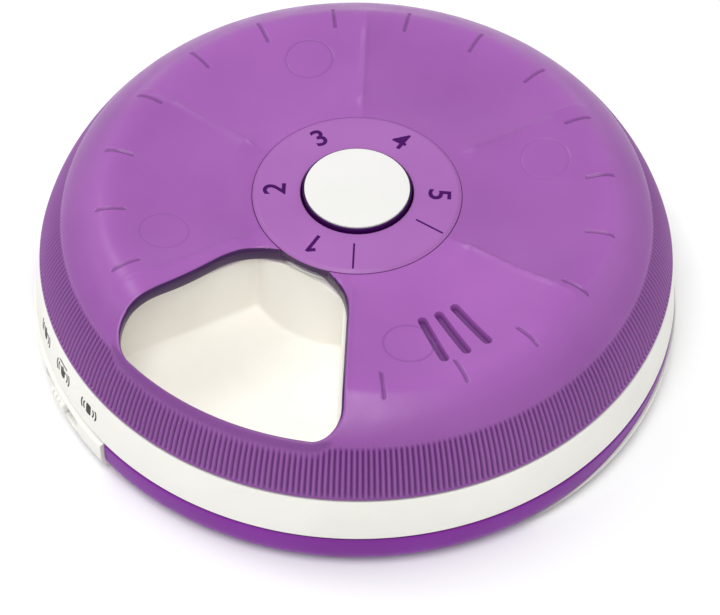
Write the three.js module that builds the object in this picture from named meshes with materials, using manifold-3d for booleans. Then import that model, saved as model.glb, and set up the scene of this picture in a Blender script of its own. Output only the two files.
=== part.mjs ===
// Travel pill organizer: a lid with one opening turns over a five-compartment tray, which sits on a
// round housing that holds a reminder alarm. Millimetres, +Z up, the foot ring stands on z = 0 and the
// lid turns about the Z axis. Azimuths are in degrees about +Z from +X.

import * as THREE from 'three';
import { mergeVertices } from 'three/addons/utils/BufferGeometryUtils.js';
import Module from 'manifold-3d';

const wasm = await Module();
wasm.setup();

// Driving dimensions -----------------------------------------------------------------------------------

const gap = 0.3; // clearance between neighbouring pieces
const roundSteps = 48; // facets round the large parts
const smallSteps = 16; // facets round the small parts

const recessRadius = 36; // inside the foot ring the underside is recessed
const recessZ = 1;
const baseFloorZ = 2.4;
const waistRadius = 45.9; // widest, where the ring meets the base
const waistZ = 6.5;
const ringTopZ = 13.7;
const lidLowZ = 14;
const lidRadius = 45; // low edge of the lid
const creaseRadius = 41.2; // the sloped grip band ends here
const creaseZ = 21.6;
const bandBulge = 0.45;
const crownRadius = 34.5; // highest circle of the lid
const crownZ = 25.5;
const dishZ = 24.25; // lowest circle of the lid's panels
const lidWall = 1.7;
const hubHoleRadius = 12.3; // hole of the lid's flange, round the tray's post
const discSeatRadius = 15; // seat of the number disc in the lid
const discRadius = 14.6;
const discSeatZ = 23.3;
const discTopZ = 25.3;
const buttonRadius = 7.8;
const buttonTopZ = 26.1;

const sectorAngle = 60; // five compartments and one blank sector
const blankSector = -60; // azimuth of the blank sector's middle
const firstWall = -90; // azimuth of the wall between the blank sector and compartment 1
const trayFloorZ = 10.6;
const trayFloorLowZ = 9.4;
const trayOuterRadius = 43;
const drumRadius = 16.2; // the compartments' inner wall, at the floor
const drumTopRadius = 13.9; // and at its top, where it leans in under the number disc
const drumTopZ = 21.3;
const postRadius = 11.9;
const webZ = 18.9; // top of the web that the button's spring stands on
const webLowZ = 17.5;
const wallThickness = 2.2;

const screwRadius = 38.6; // circle of the base screws
const boardZ = 5.7;
const boardTopZ = 6.9;
const cellX = 0;
const cellY = -20;
const cellRadius = 12.25;
const cellZ = 3;
const doorRadius = 13.6;
const displayY = 17;
const keyY = 1;
const buzzerX = -24;
const buzzerY = -13;
const motorZ = 15.2;
const switchAzimuth = -151;

// Materials --------------------------------------------------------------------------------------------

const finish = (settings) => new THREE.MeshStandardMaterial(settings);
const plastic = (color, roughness = 0.45) => finish({ color, roughness, metalness: 0 });
const metal = (color, roughness = 0.35) => finish({ color, roughness, metalness: 1 });

const lidPurple = plastic('#9c4fa8');
const basePurple = plastic('#7a2f90');
const markedPurple = plastic('#a765b3');
const ringWhite = plastic('#e1e0da', 0.5);
const trayWhite = plastic('#e9e6dc', 0.4);
const capWhite = plastic('#f0f0ee', 0.4);
const boardGreen = plastic('#1f5a38', 0.6);
const chipBlack = plastic('#1b1b1d', 0.5);
const rubberGrey = plastic('#55585c', 0.8);
const displayGrey = plastic('#8f9a86', 0.2);
const windowClear = plastic('#dfe6e8', 0.1);
const steel = metal('#c9ccd0');
const brass = metal('#b99a55');
const leadRed = plastic('#b3261e', 0.6);
const leadBlack = plastic('#202022', 0.6);

// Solids -----------------------------------------------------------------------------------------------

const rad = THREE.MathUtils.degToRad;
const polar = (radius, azimuth) => [radius * Math.cos(rad(azimuth)), radius * Math.sin(rad(azimuth))];

/** Closed three.js geometry as a manifold solid, with its faces turned outward. */
function solid(geometry) {
  const bare = geometry.clone();
  bare.deleteAttribute('normal');
  bare.deleteAttribute('uv');
  const merged = mergeVertices(bare, 1e-4);
  const index = merged.index.array;
  const position = merged.attributes.position;
  const [a, b, c] = [new THREE.Vector3(), new THREE.Vector3(), new THREE.Vector3()];
  const faces = [];
  let volume = 0;
  for (let i = 0; i < index.length; i += 3) {
    const face = [index[i], index[i + 1], index[i + 2]];
    if (new Set(face).size < 3) continue;
    faces.push(face);
    [a, b, c].forEach((corner, k) => corner.fromBufferAttribute(position, face[k]));
    volume += a.dot(b.cross(c));
  }
  if (volume < 0) faces.forEach((face) => face.reverse());
  const vertProperties = new Float32Array(position.array);
  const triVerts = new Uint32Array(faces.flat());
  return new wasm.Manifold(new wasm.Mesh({ numProp: 3, vertProperties, triVerts }));
}

/** Manifold solid back to three.js geometry. */
function geometryOf(body) {
  const mesh = body.getMesh();
  const geometry = new THREE.BufferGeometry();
  geometry.setAttribute('position', new THREE.BufferAttribute(mesh.vertProperties, 3));
  geometry.setIndex(new THREE.BufferAttribute(mesh.triVerts, 1));
  geometry.computeVertexNormals();
  return geometry;
}

/** Profile of [radius, z] points turned about Z; it starts and ends on the axis or at the same point. */
function revolve(profile, steps = roundSteps) {
  const points = profile.map(([radius, z]) => new THREE.Vector2(radius, z));
  return solid(new THREE.LatheGeometry(points, steps).rotateX(Math.PI / 2));
}

const ringOf = (profile, steps) => revolve([...profile, profile[0]], steps);

function cylinder(radius, z0, z1, x = 0, y = 0, steps = smallSteps) {
  const geometry = new THREE.CylinderGeometry(radius, radius, z1 - z0, steps);
  return solid(geometry.rotateX(Math.PI / 2).translate(x, y, (z0 + z1) / 2));
}

function box(sizeX, sizeY, z0, z1, x = 0, y = 0) {
  return solid(new THREE.BoxGeometry(sizeX, sizeY, z1 - z0).translate(x, y, (z0 + z1) / 2));
}

function prism(shape, z0, z1, curveSegments = 8) {
  const options = { depth: z1 - z0, bevelEnabled: false, curveSegments };
  return solid(new THREE.ExtrudeGeometry(shape, options).translate(0, 0, z0));
}

/** Wedge between two azimuths, taller and wider than the object. */
function wedge(from, to) {
  const shape = new THREE.Shape();
  shape.moveTo(0, 0);
  const steps = Math.ceil((to - from) / 15);
  for (let i = 0; i <= steps; i += 1) shape.lineTo(...polar(80, from + ((to - from) * i) / steps));
  return prism(shape, -5, 40);
}

const turned = (body, azimuth) => body.rotate([0, 0, azimuth]);

const join = (first, ...others) => others.reduce((sum, body) => sum.add(body), first);
const cut = (first, ...others) => others.reduce((rest, body) => rest.subtract(body), first);

const around = (count, build) => Array.from({ length: count }, (_, i) => build(i));

/** Regular outline for a swept wire. */
function wireSection(radius, sides) {
  const corners = around(sides, (i) => new THREE.Vector2(...polar(radius, (360 * i) / sides)));
  return new THREE.Shape().setFromPoints(corners);
}

// Lid --------------------------------------------------------------------------------------------------

/** Quadratic curve from the crease over the shoulder to the crown, as [radius, z] points. */
function shoulder(inset, steps) {
  const crease = new THREE.Vector2(creaseRadius, creaseZ);
  const bend = new THREE.Vector2(38.6, 24.2);
  const crown = new THREE.Vector2(crownRadius, crownZ);
  const curve = new THREE.QuadraticBezierCurve(crease, bend, crown);
  return around(steps + 1, (i) => {
    const point = curve.getPoint(i / steps);
    const tangent = curve.getTangent(i / steps);
    return [point.x - inset * tangent.y, point.y + inset * tangent.x];
  });
}

/** Sloped grip band, slightly bulged, from the low edge up to the crease. */
function gripBand(steps) {
  const slope = Math.atan2(creaseZ - lidLowZ, lidRadius - creaseRadius);
  return around(steps, (i) => {
    const t = i / steps;
    const swell = 4 * bandBulge * t * (1 - t);
    const radius = THREE.MathUtils.lerp(lidRadius, creaseRadius, t) + swell * Math.sin(slope);
    return [radius, THREE.MathUtils.lerp(lidLowZ, creaseZ, t) + swell * Math.cos(slope)];
  });
}

/** Lifts the lid's panels into soft creases on the sector boundaries. */
function creaseLift(geometry) {
  const height = 0.4;
  const reach = 12;
  const position = geometry.attributes.position;
  for (let i = 0; i < position.count; i += 1) {
    const [x, y, z] = [position.getX(i), position.getY(i), position.getZ(i)];
    const radius = Math.hypot(x, y);
    const azimuth = THREE.MathUtils.radToDeg(Math.atan2(y, x));
    const away = Math.abs(THREE.MathUtils.euclideanModulo(azimuth, sectorAngle) - sectorAngle / 2);
    const across = Math.max(0, 1 - away / reach);
    const inner = THREE.MathUtils.smoothstep(radius, 16, 20);
    const outer = 1 - THREE.MathUtils.smoothstep(radius, 29, 34);
    position.setZ(i, z + height * across * inner * outer);
  }
  return geometry;
}

/** Straight side of the opening; across is measured towards the opening's middle. */
function side(azimuth, inward, inset) {
  const along = new THREE.Vector2(...polar(1, azimuth));
  const across = new THREE.Vector2(-along.y, along.x).multiplyScalar(inward);
  const point = (s, d) => along.clone().multiplyScalar(s).addScaledVector(across, d);
  return { across, inset, point };
}

/** Outline of the opening: an arc at the rim, two straight sides and a round nose at the hub. */
function openingShape() {
  const rim = 41;
  const nose = 11.2;
  const right = side(-90, -1, 0.5);
  const left = side(-141.5, 1, -1.45);
  const corner = (edge, radius) => {
    const d = edge.inset + radius;
    const s = Math.sqrt((rim - radius) ** 2 - d ** 2);
    const centre = edge.point(s, d);
    return { centre, radius, onSide: edge.point(s, edge.inset), onRim: centre.clone().setLength(rim) };
  };
  const rightCorner = corner(right, 3.6);
  const leftCorner = corner(left, 5);
  const det = right.across.cross(left.across);
  const dRight = right.inset + nose;
  const dLeft = left.inset + nose;
  const hub = new THREE.Vector2(
    (dRight * left.across.y - dLeft * right.across.y) / det,
    (dLeft * right.across.x - dRight * left.across.x) / det,
  );
  const onNose = (edge) => hub.clone().addScaledVector(edge.across, -nose);
  const shape = new THREE.Shape();
  const arc = (centre, radius, from, to) => {
    const [start, end] = [from, to].map((point) => point.clone().sub(centre).angle());
    shape.absarc(centre.x, centre.y, radius, start, end, false);
  };
  arc(new THREE.Vector2(), rim, leftCorner.onRim, rightCorner.onRim);
  arc(rightCorner.centre, rightCorner.radius, rightCorner.onRim, rightCorner.onSide);
  arc(hub, nose, onNose(right), onNose(left));
  arc(leftCorner.centre, leftCorner.radius, leftCorner.onSide, leftCorner.onRim);
  shape.closePath();
  return shape;
}

/** Three blind grip grooves in the blank sector, with floors that follow the panel's slope. */
function gripGrooves() {
  const [length, width, middle] = [8.7, 1.3, 27.65];
  const [floorZ, height, slope] = [23.65, 4, 5.5];
  const groove = box(length, width, 0, height).rotate([0, -slope, 0]).translate([middle, 0, floorZ]);
  return around(3, (i) => turned(groove, blankSector + 6 * (i - 1)));
}

function lid() {
  const outside = [...gripBand(3), ...shoulder(0, 3)];
  const dish = [[30, 24.75], [25, dishZ], [19.5, 24.2], [discSeatRadius, 24.7]];
  const seat = [[discSeatRadius, discSeatZ], [hubHoleRadius, discSeatZ], [hubHoleRadius, discSeatZ - 1.1]];
  const inside = [[17, 22.2], [20, 22.5], [25, dishZ - lidWall], [30, 23.05]];
  const skirt = [...shoulder(lidWall, 3).reverse(), [lidRadius - 1.7, lidLowZ]];
  const profile = [...outside, ...dish, ...seat, ...inside, ...skirt];
  const points = [...profile, profile[0]].map(([radius, z]) => new THREE.Vector2(radius, z));
  const shell = new THREE.LatheGeometry(points, roundSteps).rotateX(Math.PI / 2);
  const opening = prism(openingShape(), lidLowZ - 1, crownZ + 2, 6);
  return cut(solid(creaseLift(shell)), opening, ...gripGrooves());
}

// Number disc and centre button ------------------------------------------------------------------------

const discScrewRadius = 9.7;
const discScrewAt = (i) => polar(discScrewRadius, 30 + 120 * i);

function numberDisc() {
  const plate = [[discRadius, 23.6], [discRadius, 24.75], [discRadius - 0.4, 25.05], [8.15, discTopZ]];
  const boss = [[8.15, 23.5], [8.75, 23.5], [8.75, 19.2], [10.7, 19.2], [10.7, 23.6]];
  const pilots = around(3, (i) => cylinder(0.8, 18, 22.6, ...discScrewAt(i), 10));
  return cut(ringOf([...plate, ...boss], 36), ...pilots);
}

function buttonBody() {
  const top = [[0, 25.4], [7.35, 25.4], [7.35, buttonTopZ], [buttonRadius, buttonTopZ - 0.1]];
  const skirt = [[buttonRadius, 23.2], [8.4, 23.2], [8.4, 21.6], [6.6, 21.6], [6.6, 24.2], [0, 24.2]];
  return revolve([...top, ...skirt], 28);
}

function buttonInlay() {
  const crown = buttonTopZ + 0.35;
  return revolve([[0, 25.45], [7.2, 25.45], [7.2, buttonTopZ], [5, crown - 0.12], [0, crown]], 28);
}

function buttonStem() {
  return revolve([[0, 12.4], [1.9, 12.4], [1.9, 21.9], [2.6, 22.4], [2.6, 24.15], [0, 24.15]], smallSteps);
}

/** Coil along +Z as a swept pentagon. */
function coil(radius, wire, turns, z0, z1) {
  class Helix extends THREE.Curve {
    getPoint(t, target = new THREE.Vector3()) {
      const angle = t * turns * 2 * Math.PI;
      return target.set(radius * Math.cos(angle), radius * Math.sin(angle), THREE.MathUtils.lerp(z0, z1, t));
    }
  }
  const options = { steps: turns * 10, extrudePath: new Helix() };
  return solid(new THREE.ExtrudeGeometry(wireSection(wire, 5), options));
}

const glideWasher = () => ringOf([[12.1, 21.5], [13.8, 21.5], [13.8, 22], [12.1, 22]], 28);

// Tray -------------------------------------------------------------------------------------------------

/** Wall between two compartments, standing on a sector boundary. */
function trayWall(azimuth) {
  const rimEnd = [[41.9, 10], [41.9, 13.8], [39.8, 18], [38.6, 20.4], [36, 21.3]];
  const hubEnd = [[14.1, 21.6], [13.4, 21], [15.3, 10]];
  const outline = [...rimEnd, ...hubEnd].map(([r, z]) => new THREE.Vector2(r, z));
  const shape = new THREE.Shape().setFromPoints(outline);
  const plate = new THREE.ExtrudeGeometry(shape, { depth: wallThickness, bevelEnabled: false });
  return turned(solid(plate.translate(0, 0, -wallThickness / 2).rotateX(Math.PI / 2)), azimuth);
}

/** Raised, closed top of the blank sector; the space below it is open to the housing. */
function blankCover() {
  const outside = [[40.7, 17.6], [39.2, 20.6], [13.4, 20.6]];
  const inside = [[13.4, 19.4], [38.5, 19.4], [39.4, 17.6]];
  return ringOf([...outside, ...inside]).intersect(wedge(firstWall, firstWall + sectorAngle));
}

function tray() {
  const rim = [[trayOuterRadius, trayFloorLowZ], [trayOuterRadius, 14], [40.75, 18.2], [39.7, 18.2]];
  const bowl = [[41.75, 13.9], [41.75, trayFloorZ], [drumRadius, trayFloorZ], [drumTopRadius, drumTopZ]];
  const post = [[postRadius, drumTopZ], [postRadius, 23.2], [11, 23.2], [11, webZ], [2.5, webZ]];
  const under = [[2.5, webLowZ], [13, webLowZ], [14.6, trayFloorLowZ]];
  const walls = around(6, (i) => trayWall(firstWall + sectorAngle * i));
  const pocket = ringOf([[17.4, 9], [40.2, 9], [40.2, 11], [17.4, 11]]);
  const pocketWedge = wedge(firstWall + 3, firstWall + sectorAngle - 3);
  const screwHoles = around(3, (i) => cylinder(1, 17, 19.5, ...discScrewAt(i), 10));
  const bowlShell = ringOf([...rim, ...bowl, ...post, ...under]);
  const opened = cut(bowlShell, pocket.intersect(pocketWedge), ...screwHoles);
  return join(opened, blankCover(), ...walls);
}

// Housing ----------------------------------------------------------------------------------------------

const screwAt = (i) => polar(screwRadius, 45 + 90 * i);

function housingRing() {
  const wall = [[waistRadius, waistZ], [lidRadius, ringTopZ], [43.3, ringTopZ], [43.3, 9.2]];
  const ledge = [[40.2, 9.2], [40.2, 7.6], [44, 7.4], [44, waistZ]];
  const lugs = around(4, (i) => cylinder(3, 2.7, 9.2, ...screwAt(i)));
  const pilots = around(4, (i) => cylinder(1.2, 2, 8.4, ...screwAt(i), 12));
  return cut(join(ringOf([...wall, ...ledge]), ...lugs), ...pilots);
}

/** Rounded lower edge shared by the base and its side panels, grown outward by proud. */
function lowerEdge(proud, lowest, steps) {
  const round = 3.6;
  const centre = waistRadius - round;
  return around(steps + 1, (i) => {
    const angle = rad((90 * i) / steps);
    return [centre + (round + proud) * Math.cos(angle), round - (round + proud) * Math.sin(angle)];
  }).filter(([, z]) => z >= lowest);
}

/** Everything above the slanted upper edge of the right panel; lift moves the edge up. */
function aboveRightPanel(lift) {
  const [edgeZ, slope] = [4.7, 0.165];
  const block = new THREE.BoxGeometry(200, 200, 40).translate(0, 0, 20);
  block.rotateY(-Math.atan(slope));
  return solid(block.translate(waistRadius, 0, edgeZ + lift));
}

const leftPanelFrom = -177;
const leftPanelTo = -137;
const rightPanelReach = 56;
const switchSlotLength = 11.2;

/** Place a piece built along +X at the slide switch's azimuth. */
const atSwitch = (body) => turned(body, switchAzimuth);

function leftPanel() {
  const face = [[waistRadius + 0.5, 6.2], ...lowerEdge(0.5, 1, 5)];
  const body = ringOf([...face, [44.1, 1.2], [44.1, 6.2]]);
  const slot = atSwitch(box(6, switchSlotLength, 3.4, 5.8, 45.5));
  return cut(body.intersect(wedge(leftPanelFrom, leftPanelTo)), slot);
}

function rightPanel() {
  const face = [[waistRadius + 0.3, 5.4], ...lowerEdge(0.3, 1, 5)];
  const body = ringOf([...face, [44.3, 1.2], [44.3, 5.4]]);
  return cut(body.intersect(wedge(-rightPanelReach, rightPanelReach)), aboveRightPanel(0));
}

/** Clearance cut in the base for the side panels. */
function panelSeats() {
  const seat = () => ringOf([[60, 0.8], [60, 8], [43.5, 8], [43.5, 0.8]]);
  const left = seat().intersect(wedge(leftPanelFrom - 0.4, leftPanelTo + 0.4));
  const right = cut(seat().intersect(wedge(-rightPanelReach - 1, rightPanelReach + 1)), aboveRightPanel(gap));
  return [left, right];
}

const keyX = (i) => -18 + 12 * i;

function baseHoles() {
  const window = box(30.6, 12.6, 0, 3, 0, displayY);
  const keys = around(4, (i) => cylinder(3.1, 0, 3, keyX(i), keyY));
  const sound = around(6, (i) => {
    const [x, y] = polar(3, 60 * i);
    return cylinder(0.7, 0, 3, buzzerX + x, buzzerY + y, 8);
  });
  const screws = around(4, (i) => [
    cylinder(2.4, -1, 1.4, ...screwAt(i)),
    cylinder(1.4, 0, 3, ...screwAt(i), 12),
  ]).flat();
  return [window, ...keys, ...sound, ...screws];
}

/** Bayonet lug or its notch: a short arc outside the door's disc. */
function doorLug(azimuth, spread, inner, outer, z0, z1) {
  const lug = ringOf([[inner, z0], [outer, z0], [outer, z1], [inner, z1]], 36);
  return lug.intersect(wedge(azimuth - spread, azimuth + spread)).translate([cellX, cellY, 0]);
}

const doorTurn = 60; // from locked to released

function doorOpening() {
  const disc = cylinder(doorRadius + gap, 0, 3, cellX, cellY, 36);
  const notches = around(2, (i) => doorLug(doorTurn + 180 * i, 16, 12, 15.4, 0, 3));
  return [disc, ...notches];
}

function baseShell() {
  const foot = [[0, recessZ], [recessRadius, recessZ], [recessRadius + 0.6, 0]];
  const outside = [...foot, ...lowerEdge(0, 0, 4).reverse()];
  const inside = [[waistRadius, waistZ - gap], [44.1, waistZ - gap], [43.7, 3.6], [42.2, baseFloorZ]];
  const shell = revolve([...outside, ...inside, [0, baseFloorZ]]);
  return cut(shell, ...baseHoles(), ...doorOpening(), ...panelSeats());
}

function batteryDoor() {
  const disc = cylinder(doorRadius, recessZ, 2.3, cellX, cellY, 36);
  const lip = cylinder(13.2, 2.2, 2.6, cellX, cellY, 36);
  const lugs = around(2, (i) => doorLug(180 * i, 13, 12.5, 15, 2.5, 2.9));
  const coinSlot = box(11, 1.8, 0, 1.9, cellX, cellY);
  return cut(join(disc, lip, ...lugs), coinSlot);
}

const baseScrew = () => join(cylinder(2.1, 0.15, 1.35), cylinder(1.1, 1.3, 8, 0, 0, 10));
const discScrew = () => join(cylinder(1.5, 16.3, 17.4, 0, 0, 12), cylinder(0.75, 17.3, 22, 0, 0, 10));

// Alarm ------------------------------------------------------------------------------------------------

function circuitBoard() {
  const board = cylinder(36.2, boardZ, boardTopZ, 0, 0, roundSteps);
  const cellHole = cylinder(cellRadius + 0.75, 5, 8, cellX, cellY, 28);
  const notches = around(4, (i) => cylinder(3.4, 5, 8, ...screwAt(i)));
  return cut(board, cellHole, ...notches);
}

function setKey() {
  const cap = [[0, 0.45], [2.3, 0.5], [2.8, 0.9], [2.8, 2.6], [3.6, 2.6], [3.6, 3.4]];
  return revolve([...cap, [1.2, 3.4], [1.2, 4], [0, 4]], 12);
}

const tactSwitch = () => join(box(6, 6, boardTopZ + 0.05, 10.6), cylinder(1.7, 10.5, 11.2, 0, 0, 12));

function slideSwitch() {
  const housing = box(4.2, 12, 2.7, 6.8, 39.5);
  const slot = box(2, 9.4, 3.6, 5.6, 41.2);
  return atSwitch(cut(housing, slot));
}

function modeSlider() {
  const arm = box(3.6, 2.4, 3.8, 5.4, 42.2);
  const knob = box(3.2, 4, 3.7, 5.5, 45.3);
  return atSwitch(join(arm, knob));
}

function coinCell() {
  const can = [[0, cellZ], [11.9, cellZ], [cellRadius, cellZ + 0.4], [cellRadius, 7.2], [11.6, 7.4]];
  return revolve([...can, [11.2, 7.4], [11.2, 8], [0, 8]], 28).translate([cellX, cellY, 0]);
}

/** Spring plate over the cell, with a foot on the circuit board. */
function topContact() {
  const plate = box(5, 17, 8.15, 8.45, cellX, cellY + 6.5);
  const riser = box(5, 0.5, 7, 8.3, cellX, cellY + 14.75);
  const foot = box(5, 1.7, 7, 7.3, cellX, cellY + 14.15);
  return join(plate, riser, foot);
}

function sideContact() {
  const blade = box(0.3, 6, 4, 7.3, cellX - cellRadius - 0.25, cellY);
  const foot = box(2.6, 6, 7, 7.3, cellX - cellRadius - 1.5, cellY);
  return join(blade, foot);
}

/** Motor pieces are built along +X and turned to the blank sector's middle. */
const atMotor = (body) => turned(body, blankSector);

function along(radius, x0, x1, z, steps = smallSteps) {
  const geometry = new THREE.CylinderGeometry(radius, radius, x1 - x0, steps).rotateZ(Math.PI / 2);
  return solid(geometry.translate((x0 + x1) / 2, 0, z));
}

const motorCan = () => atMotor(join(along(3, 20, 31, motorZ), along(1.2, 30.9, 31.3, motorZ, 10)));

function motorWeight() {
  const halfDisc = cut(along(2.8, 32, 35.4, motorZ), box(6, 8, motorZ + 0.6, motorZ + 6, 33.7));
  return atMotor(join(halfDisc, along(0.5, 31.4, 35.6, motorZ, 8)));
}

function motorBracket() {
  const block = box(7, 8.2, 13.4, 19.1, 25.5);
  const channel = box(9, 6.6, 12, 18.4, 25.5);
  return atMotor(cut(block, channel));
}

/** Insulated lead from the motor's rear down to the board; swing shifts it sideways, in degrees. */
function motorLead(swing) {
  const stops = [[19.7, -60, motorZ], [18.6, -58, 13.4], [19.5, -52, 10.2], [21.5, -47, boardTopZ + 0.1]];
  const points = stops.map(([radius, azimuth, z]) => new THREE.Vector3(...polar(radius, azimuth + swing), z));
  const route = new THREE.CatmullRomCurve3(points);
  return solid(new THREE.ExtrudeGeometry(wireSection(0.4, 6), { steps: 10, extrudePath: route }));
}

// Assembly ---------------------------------------------------------------------------------------------

const organizer = new THREE.Group();

function add(name, body, material, [x, y, z] = [0, 0, 0]) {
  const mesh = new THREE.Mesh(geometryOf(body), material);
  mesh.name = name;
  mesh.position.set(x, y, z);
  organizer.add(mesh);
}

add('lid', lid(), lidPurple);
add('number_disc', numberDisc(), markedPurple);
add('button_body', buttonBody(), basePurple);
add('button_inlay', buttonInlay(), capWhite);
add('button_stem', buttonStem(), capWhite);
add('button_spring', coil(4.4, 0.25, 4, webZ + 0.35, 23.85), steel);
add('glide_washer', glideWasher(), capWhite);
add('tray', tray(), trayWhite);
add('housing_ring', housingRing(), ringWhite);
add('base_shell', baseShell(), basePurple);
add('left_panel', leftPanel(), ringWhite);
add('right_panel', rightPanel(), ringWhite);
add('battery_door', batteryDoor(), basePurple);
add('mode_slider', modeSlider(), ringWhite);
add('slide_switch', slideSwitch(), steel);
add('circuit_board', circuitBoard(), boardGreen);
add('controller_chip', box(9, 9, boardTopZ + 0.05, 8.5, -12, 17), chipBlack);
add('tact_switch', tactSwitch(), chipBlack);
add('display_glass', box(34, 16, 2.7, 4.9, 0, displayY), displayGrey);
add('display_window', box(30, 12, 1.1, 2.3, 0, displayY), windowClear);
[-1, 1].forEach((end, i) => {
  add(`contact_strip_${i + 1}`, box(32, 1.8, 4.95, 5.65), rubberGrey, [0, displayY + 6.8 * end, 0]);
});
around(4, (i) => add(`set_key_${i + 1}`, setKey(), rubberGrey, [keyX(i), keyY, 0]));
add('key_mat', box(46, 9, 4.75, 5.55, 0, keyY), rubberGrey);
add('buzzer', cylinder(7.5, 2.6, 5.3, buzzerX, buzzerY, 32), brass);
add('coin_cell', coinCell(), steel);
add('top_contact', topContact(), brass);
add('side_contact', sideContact(), brass);
add('motor_can', motorCan(), steel);
add('motor_weight', motorWeight(), brass);
add('motor_bracket', motorBracket(), steel);
add('motor_lead_1', motorLead(-2), leadRed);
add('motor_lead_2', motorLead(2), leadBlack);
around(3, (i) => add(`disc_screw_${i + 1}`, discScrew(), steel, [...discScrewAt(i), 0]));
around(4, (i) => add(`base_screw_${i + 1}`, baseScrew(), steel, [...screwAt(i), 0]));

export default organizer;
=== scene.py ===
"""Looks of the travel pill organizer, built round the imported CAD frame.

Shapes are worked out in millimetres in the frame's own axes (Z up, the lid turns about Z, azimuths in
degrees from +X) and stored in metres. Most CAD nodes are replaced by finer pieces, the rest are dressed.
"""

import math

import bmesh
import bpy
import numpy as np
from mathutils import Matrix, Quaternion, Vector
from mathutils.geometry import delaunay_2d_cdt


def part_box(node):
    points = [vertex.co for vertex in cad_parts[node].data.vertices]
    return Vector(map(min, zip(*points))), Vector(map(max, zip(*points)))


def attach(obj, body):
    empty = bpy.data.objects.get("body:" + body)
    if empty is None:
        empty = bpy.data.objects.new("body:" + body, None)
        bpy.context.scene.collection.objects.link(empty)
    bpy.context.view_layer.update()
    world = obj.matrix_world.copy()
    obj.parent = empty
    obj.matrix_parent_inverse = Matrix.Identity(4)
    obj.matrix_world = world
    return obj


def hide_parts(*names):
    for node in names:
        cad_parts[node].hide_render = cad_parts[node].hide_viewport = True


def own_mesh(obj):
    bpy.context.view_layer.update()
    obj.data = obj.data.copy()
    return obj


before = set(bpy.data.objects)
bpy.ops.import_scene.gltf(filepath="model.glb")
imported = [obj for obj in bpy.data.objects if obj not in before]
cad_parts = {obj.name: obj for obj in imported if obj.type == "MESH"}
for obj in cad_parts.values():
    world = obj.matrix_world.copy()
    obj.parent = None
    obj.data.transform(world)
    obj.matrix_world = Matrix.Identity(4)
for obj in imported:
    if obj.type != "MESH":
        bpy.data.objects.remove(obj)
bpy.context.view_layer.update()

MM = 0.001

# Sizes read from the frame ----------------------------------------------------------------------------


def low(node):
    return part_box(node)[0] / MM


def high(node):
    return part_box(node)[1] / MM


LID_LOW = low("lid").z
LID_RADIUS = high("lid").x
WAIST_RADIUS = high("base_shell").x
WAIST_Z = low("housing_ring").z + 3.8
RING_TOP = high("housing_ring").z
TRAY_FLOOR = 10.6
DISC_TOP = high("number_disc").z
BUTTON_TOP = high("button_body").z

# Sizes chosen with the part's design ------------------------------------------------------------------

CREASE_RADIUS, CREASE_Z = 41.2, 21.6  # where the lid's panels meet its sloped grip band
BAND_BULGE = 0.45  # how far the band swells between its edges
LID_INNER = 43.3  # the lid's inner wall at its low edge
HUB_HOLE = 12.3  # hole in the lid's flange, which runs under the number disc
FLANGE_LOW = 22.2
DISC_SEAT_RADIUS, DISC_SEAT_Z = 14.66, 23.3
HUB_STEPS = 240
SEAT_EDGES = [14.64, 14.66, 14.70, 14.80]  # the seat's wall and the rounding at its top
SECTOR = 60  # five compartments and a blank sector
FIRST_WALL = -90  # azimuth of the wall between the blank sector and compartment 1
BLANK = FIRST_WALL + SECTOR / 2
WALL = 2.2  # thickness of the walls between compartments
DRUM_RADIUS = 16.2  # the compartments' inner wall, at its corners
DRUM_LEAN = 2.3  # how far its middle leans in under the number disc at its top
WEB_LOW, WEB_TOP = 17.5, 18.9  # the tray's web, on which the button's spring stands
HUB_SCREW_CIRCLE = 9.7
SCREW_CIRCLE = 38.6
RIBS = 360  # grip ribs round the lid
RIB_STEPS = 6 * RIBS
RIBS_FROM = 0.3  # the ribs start this far below the crease, measured along the band
RIB_DEPTH = 0.3
RIB_MARGIN = 1.0, 1.5  # the ribs fade out between these distances from the opening
RIBS_TO = 0.85, 0.48  # and between these from the low edge
TOP_ENDS = 1.9  # the lid's top and its grip band are meshed apart, and meet this far below the crease
FACE_Z = 1.0  # the underside's face, inside its foot ring
BASE_INNER, BASE_TOP = 44.1, 6.2  # the base's inner wall and upper edge
BASE_FLOOR = 2.4
CELL_Y = -20.0  # coin cell and its door
DOOR_RADIUS = 13.6
DISPLAY_Y = 17.0
KEY_Y = 1.0
BUZZER = -24, -13
SWITCH_Z = 4.6
MOTOR_Z = 15.2

# Mesh tools -------------------------------------------------------------------------------------------


def polar(radius, azimuth):
    return np.array([radius * math.cos(math.radians(azimuth)), radius * math.sin(math.radians(azimuth))])


def unit(v):
    return v / np.linalg.norm(v)


def left_of(v):
    return np.array([-v[1], v[0]])


def smoothstep(value, edge0, edge1):
    t = np.clip((value - edge0) / (edge1 - edge0), 0, 1)
    return t * t * (3 - 2 * t)


def rounded(points, arc=5):
    """Outline with an arc in place of each corner that has a third number, its radius."""
    outline = []
    count = len(points)
    for i, point in enumerate(points):
        here = np.array(point[:2], float)
        if len(point) < 3:
            outline.append(tuple(here))
            continue
        radius = point[2]
        to_before = unit(np.array(points[i - 1][:2]) - here)
        to_after = unit(np.array(points[(i + 1) % count][:2]) - here)
        half = math.acos(np.clip(to_before @ to_after, -1, 1)) / 2
        centre = here + unit(to_before + to_after) * radius / math.sin(half)
        first = here + to_before * radius / math.tan(half) - centre
        last = here + to_after * radius / math.tan(half) - centre
        start = math.atan2(first[1], first[0])
        turn = (math.atan2(last[1], last[0]) - start + math.pi) % (2 * math.pi) - math.pi
        for k in range(arc + 1):
            angle = start + turn * k / arc
            outline.append((centre[0] + radius * math.cos(angle), centre[1] + radius * math.sin(angle)))
    return outline


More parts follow.
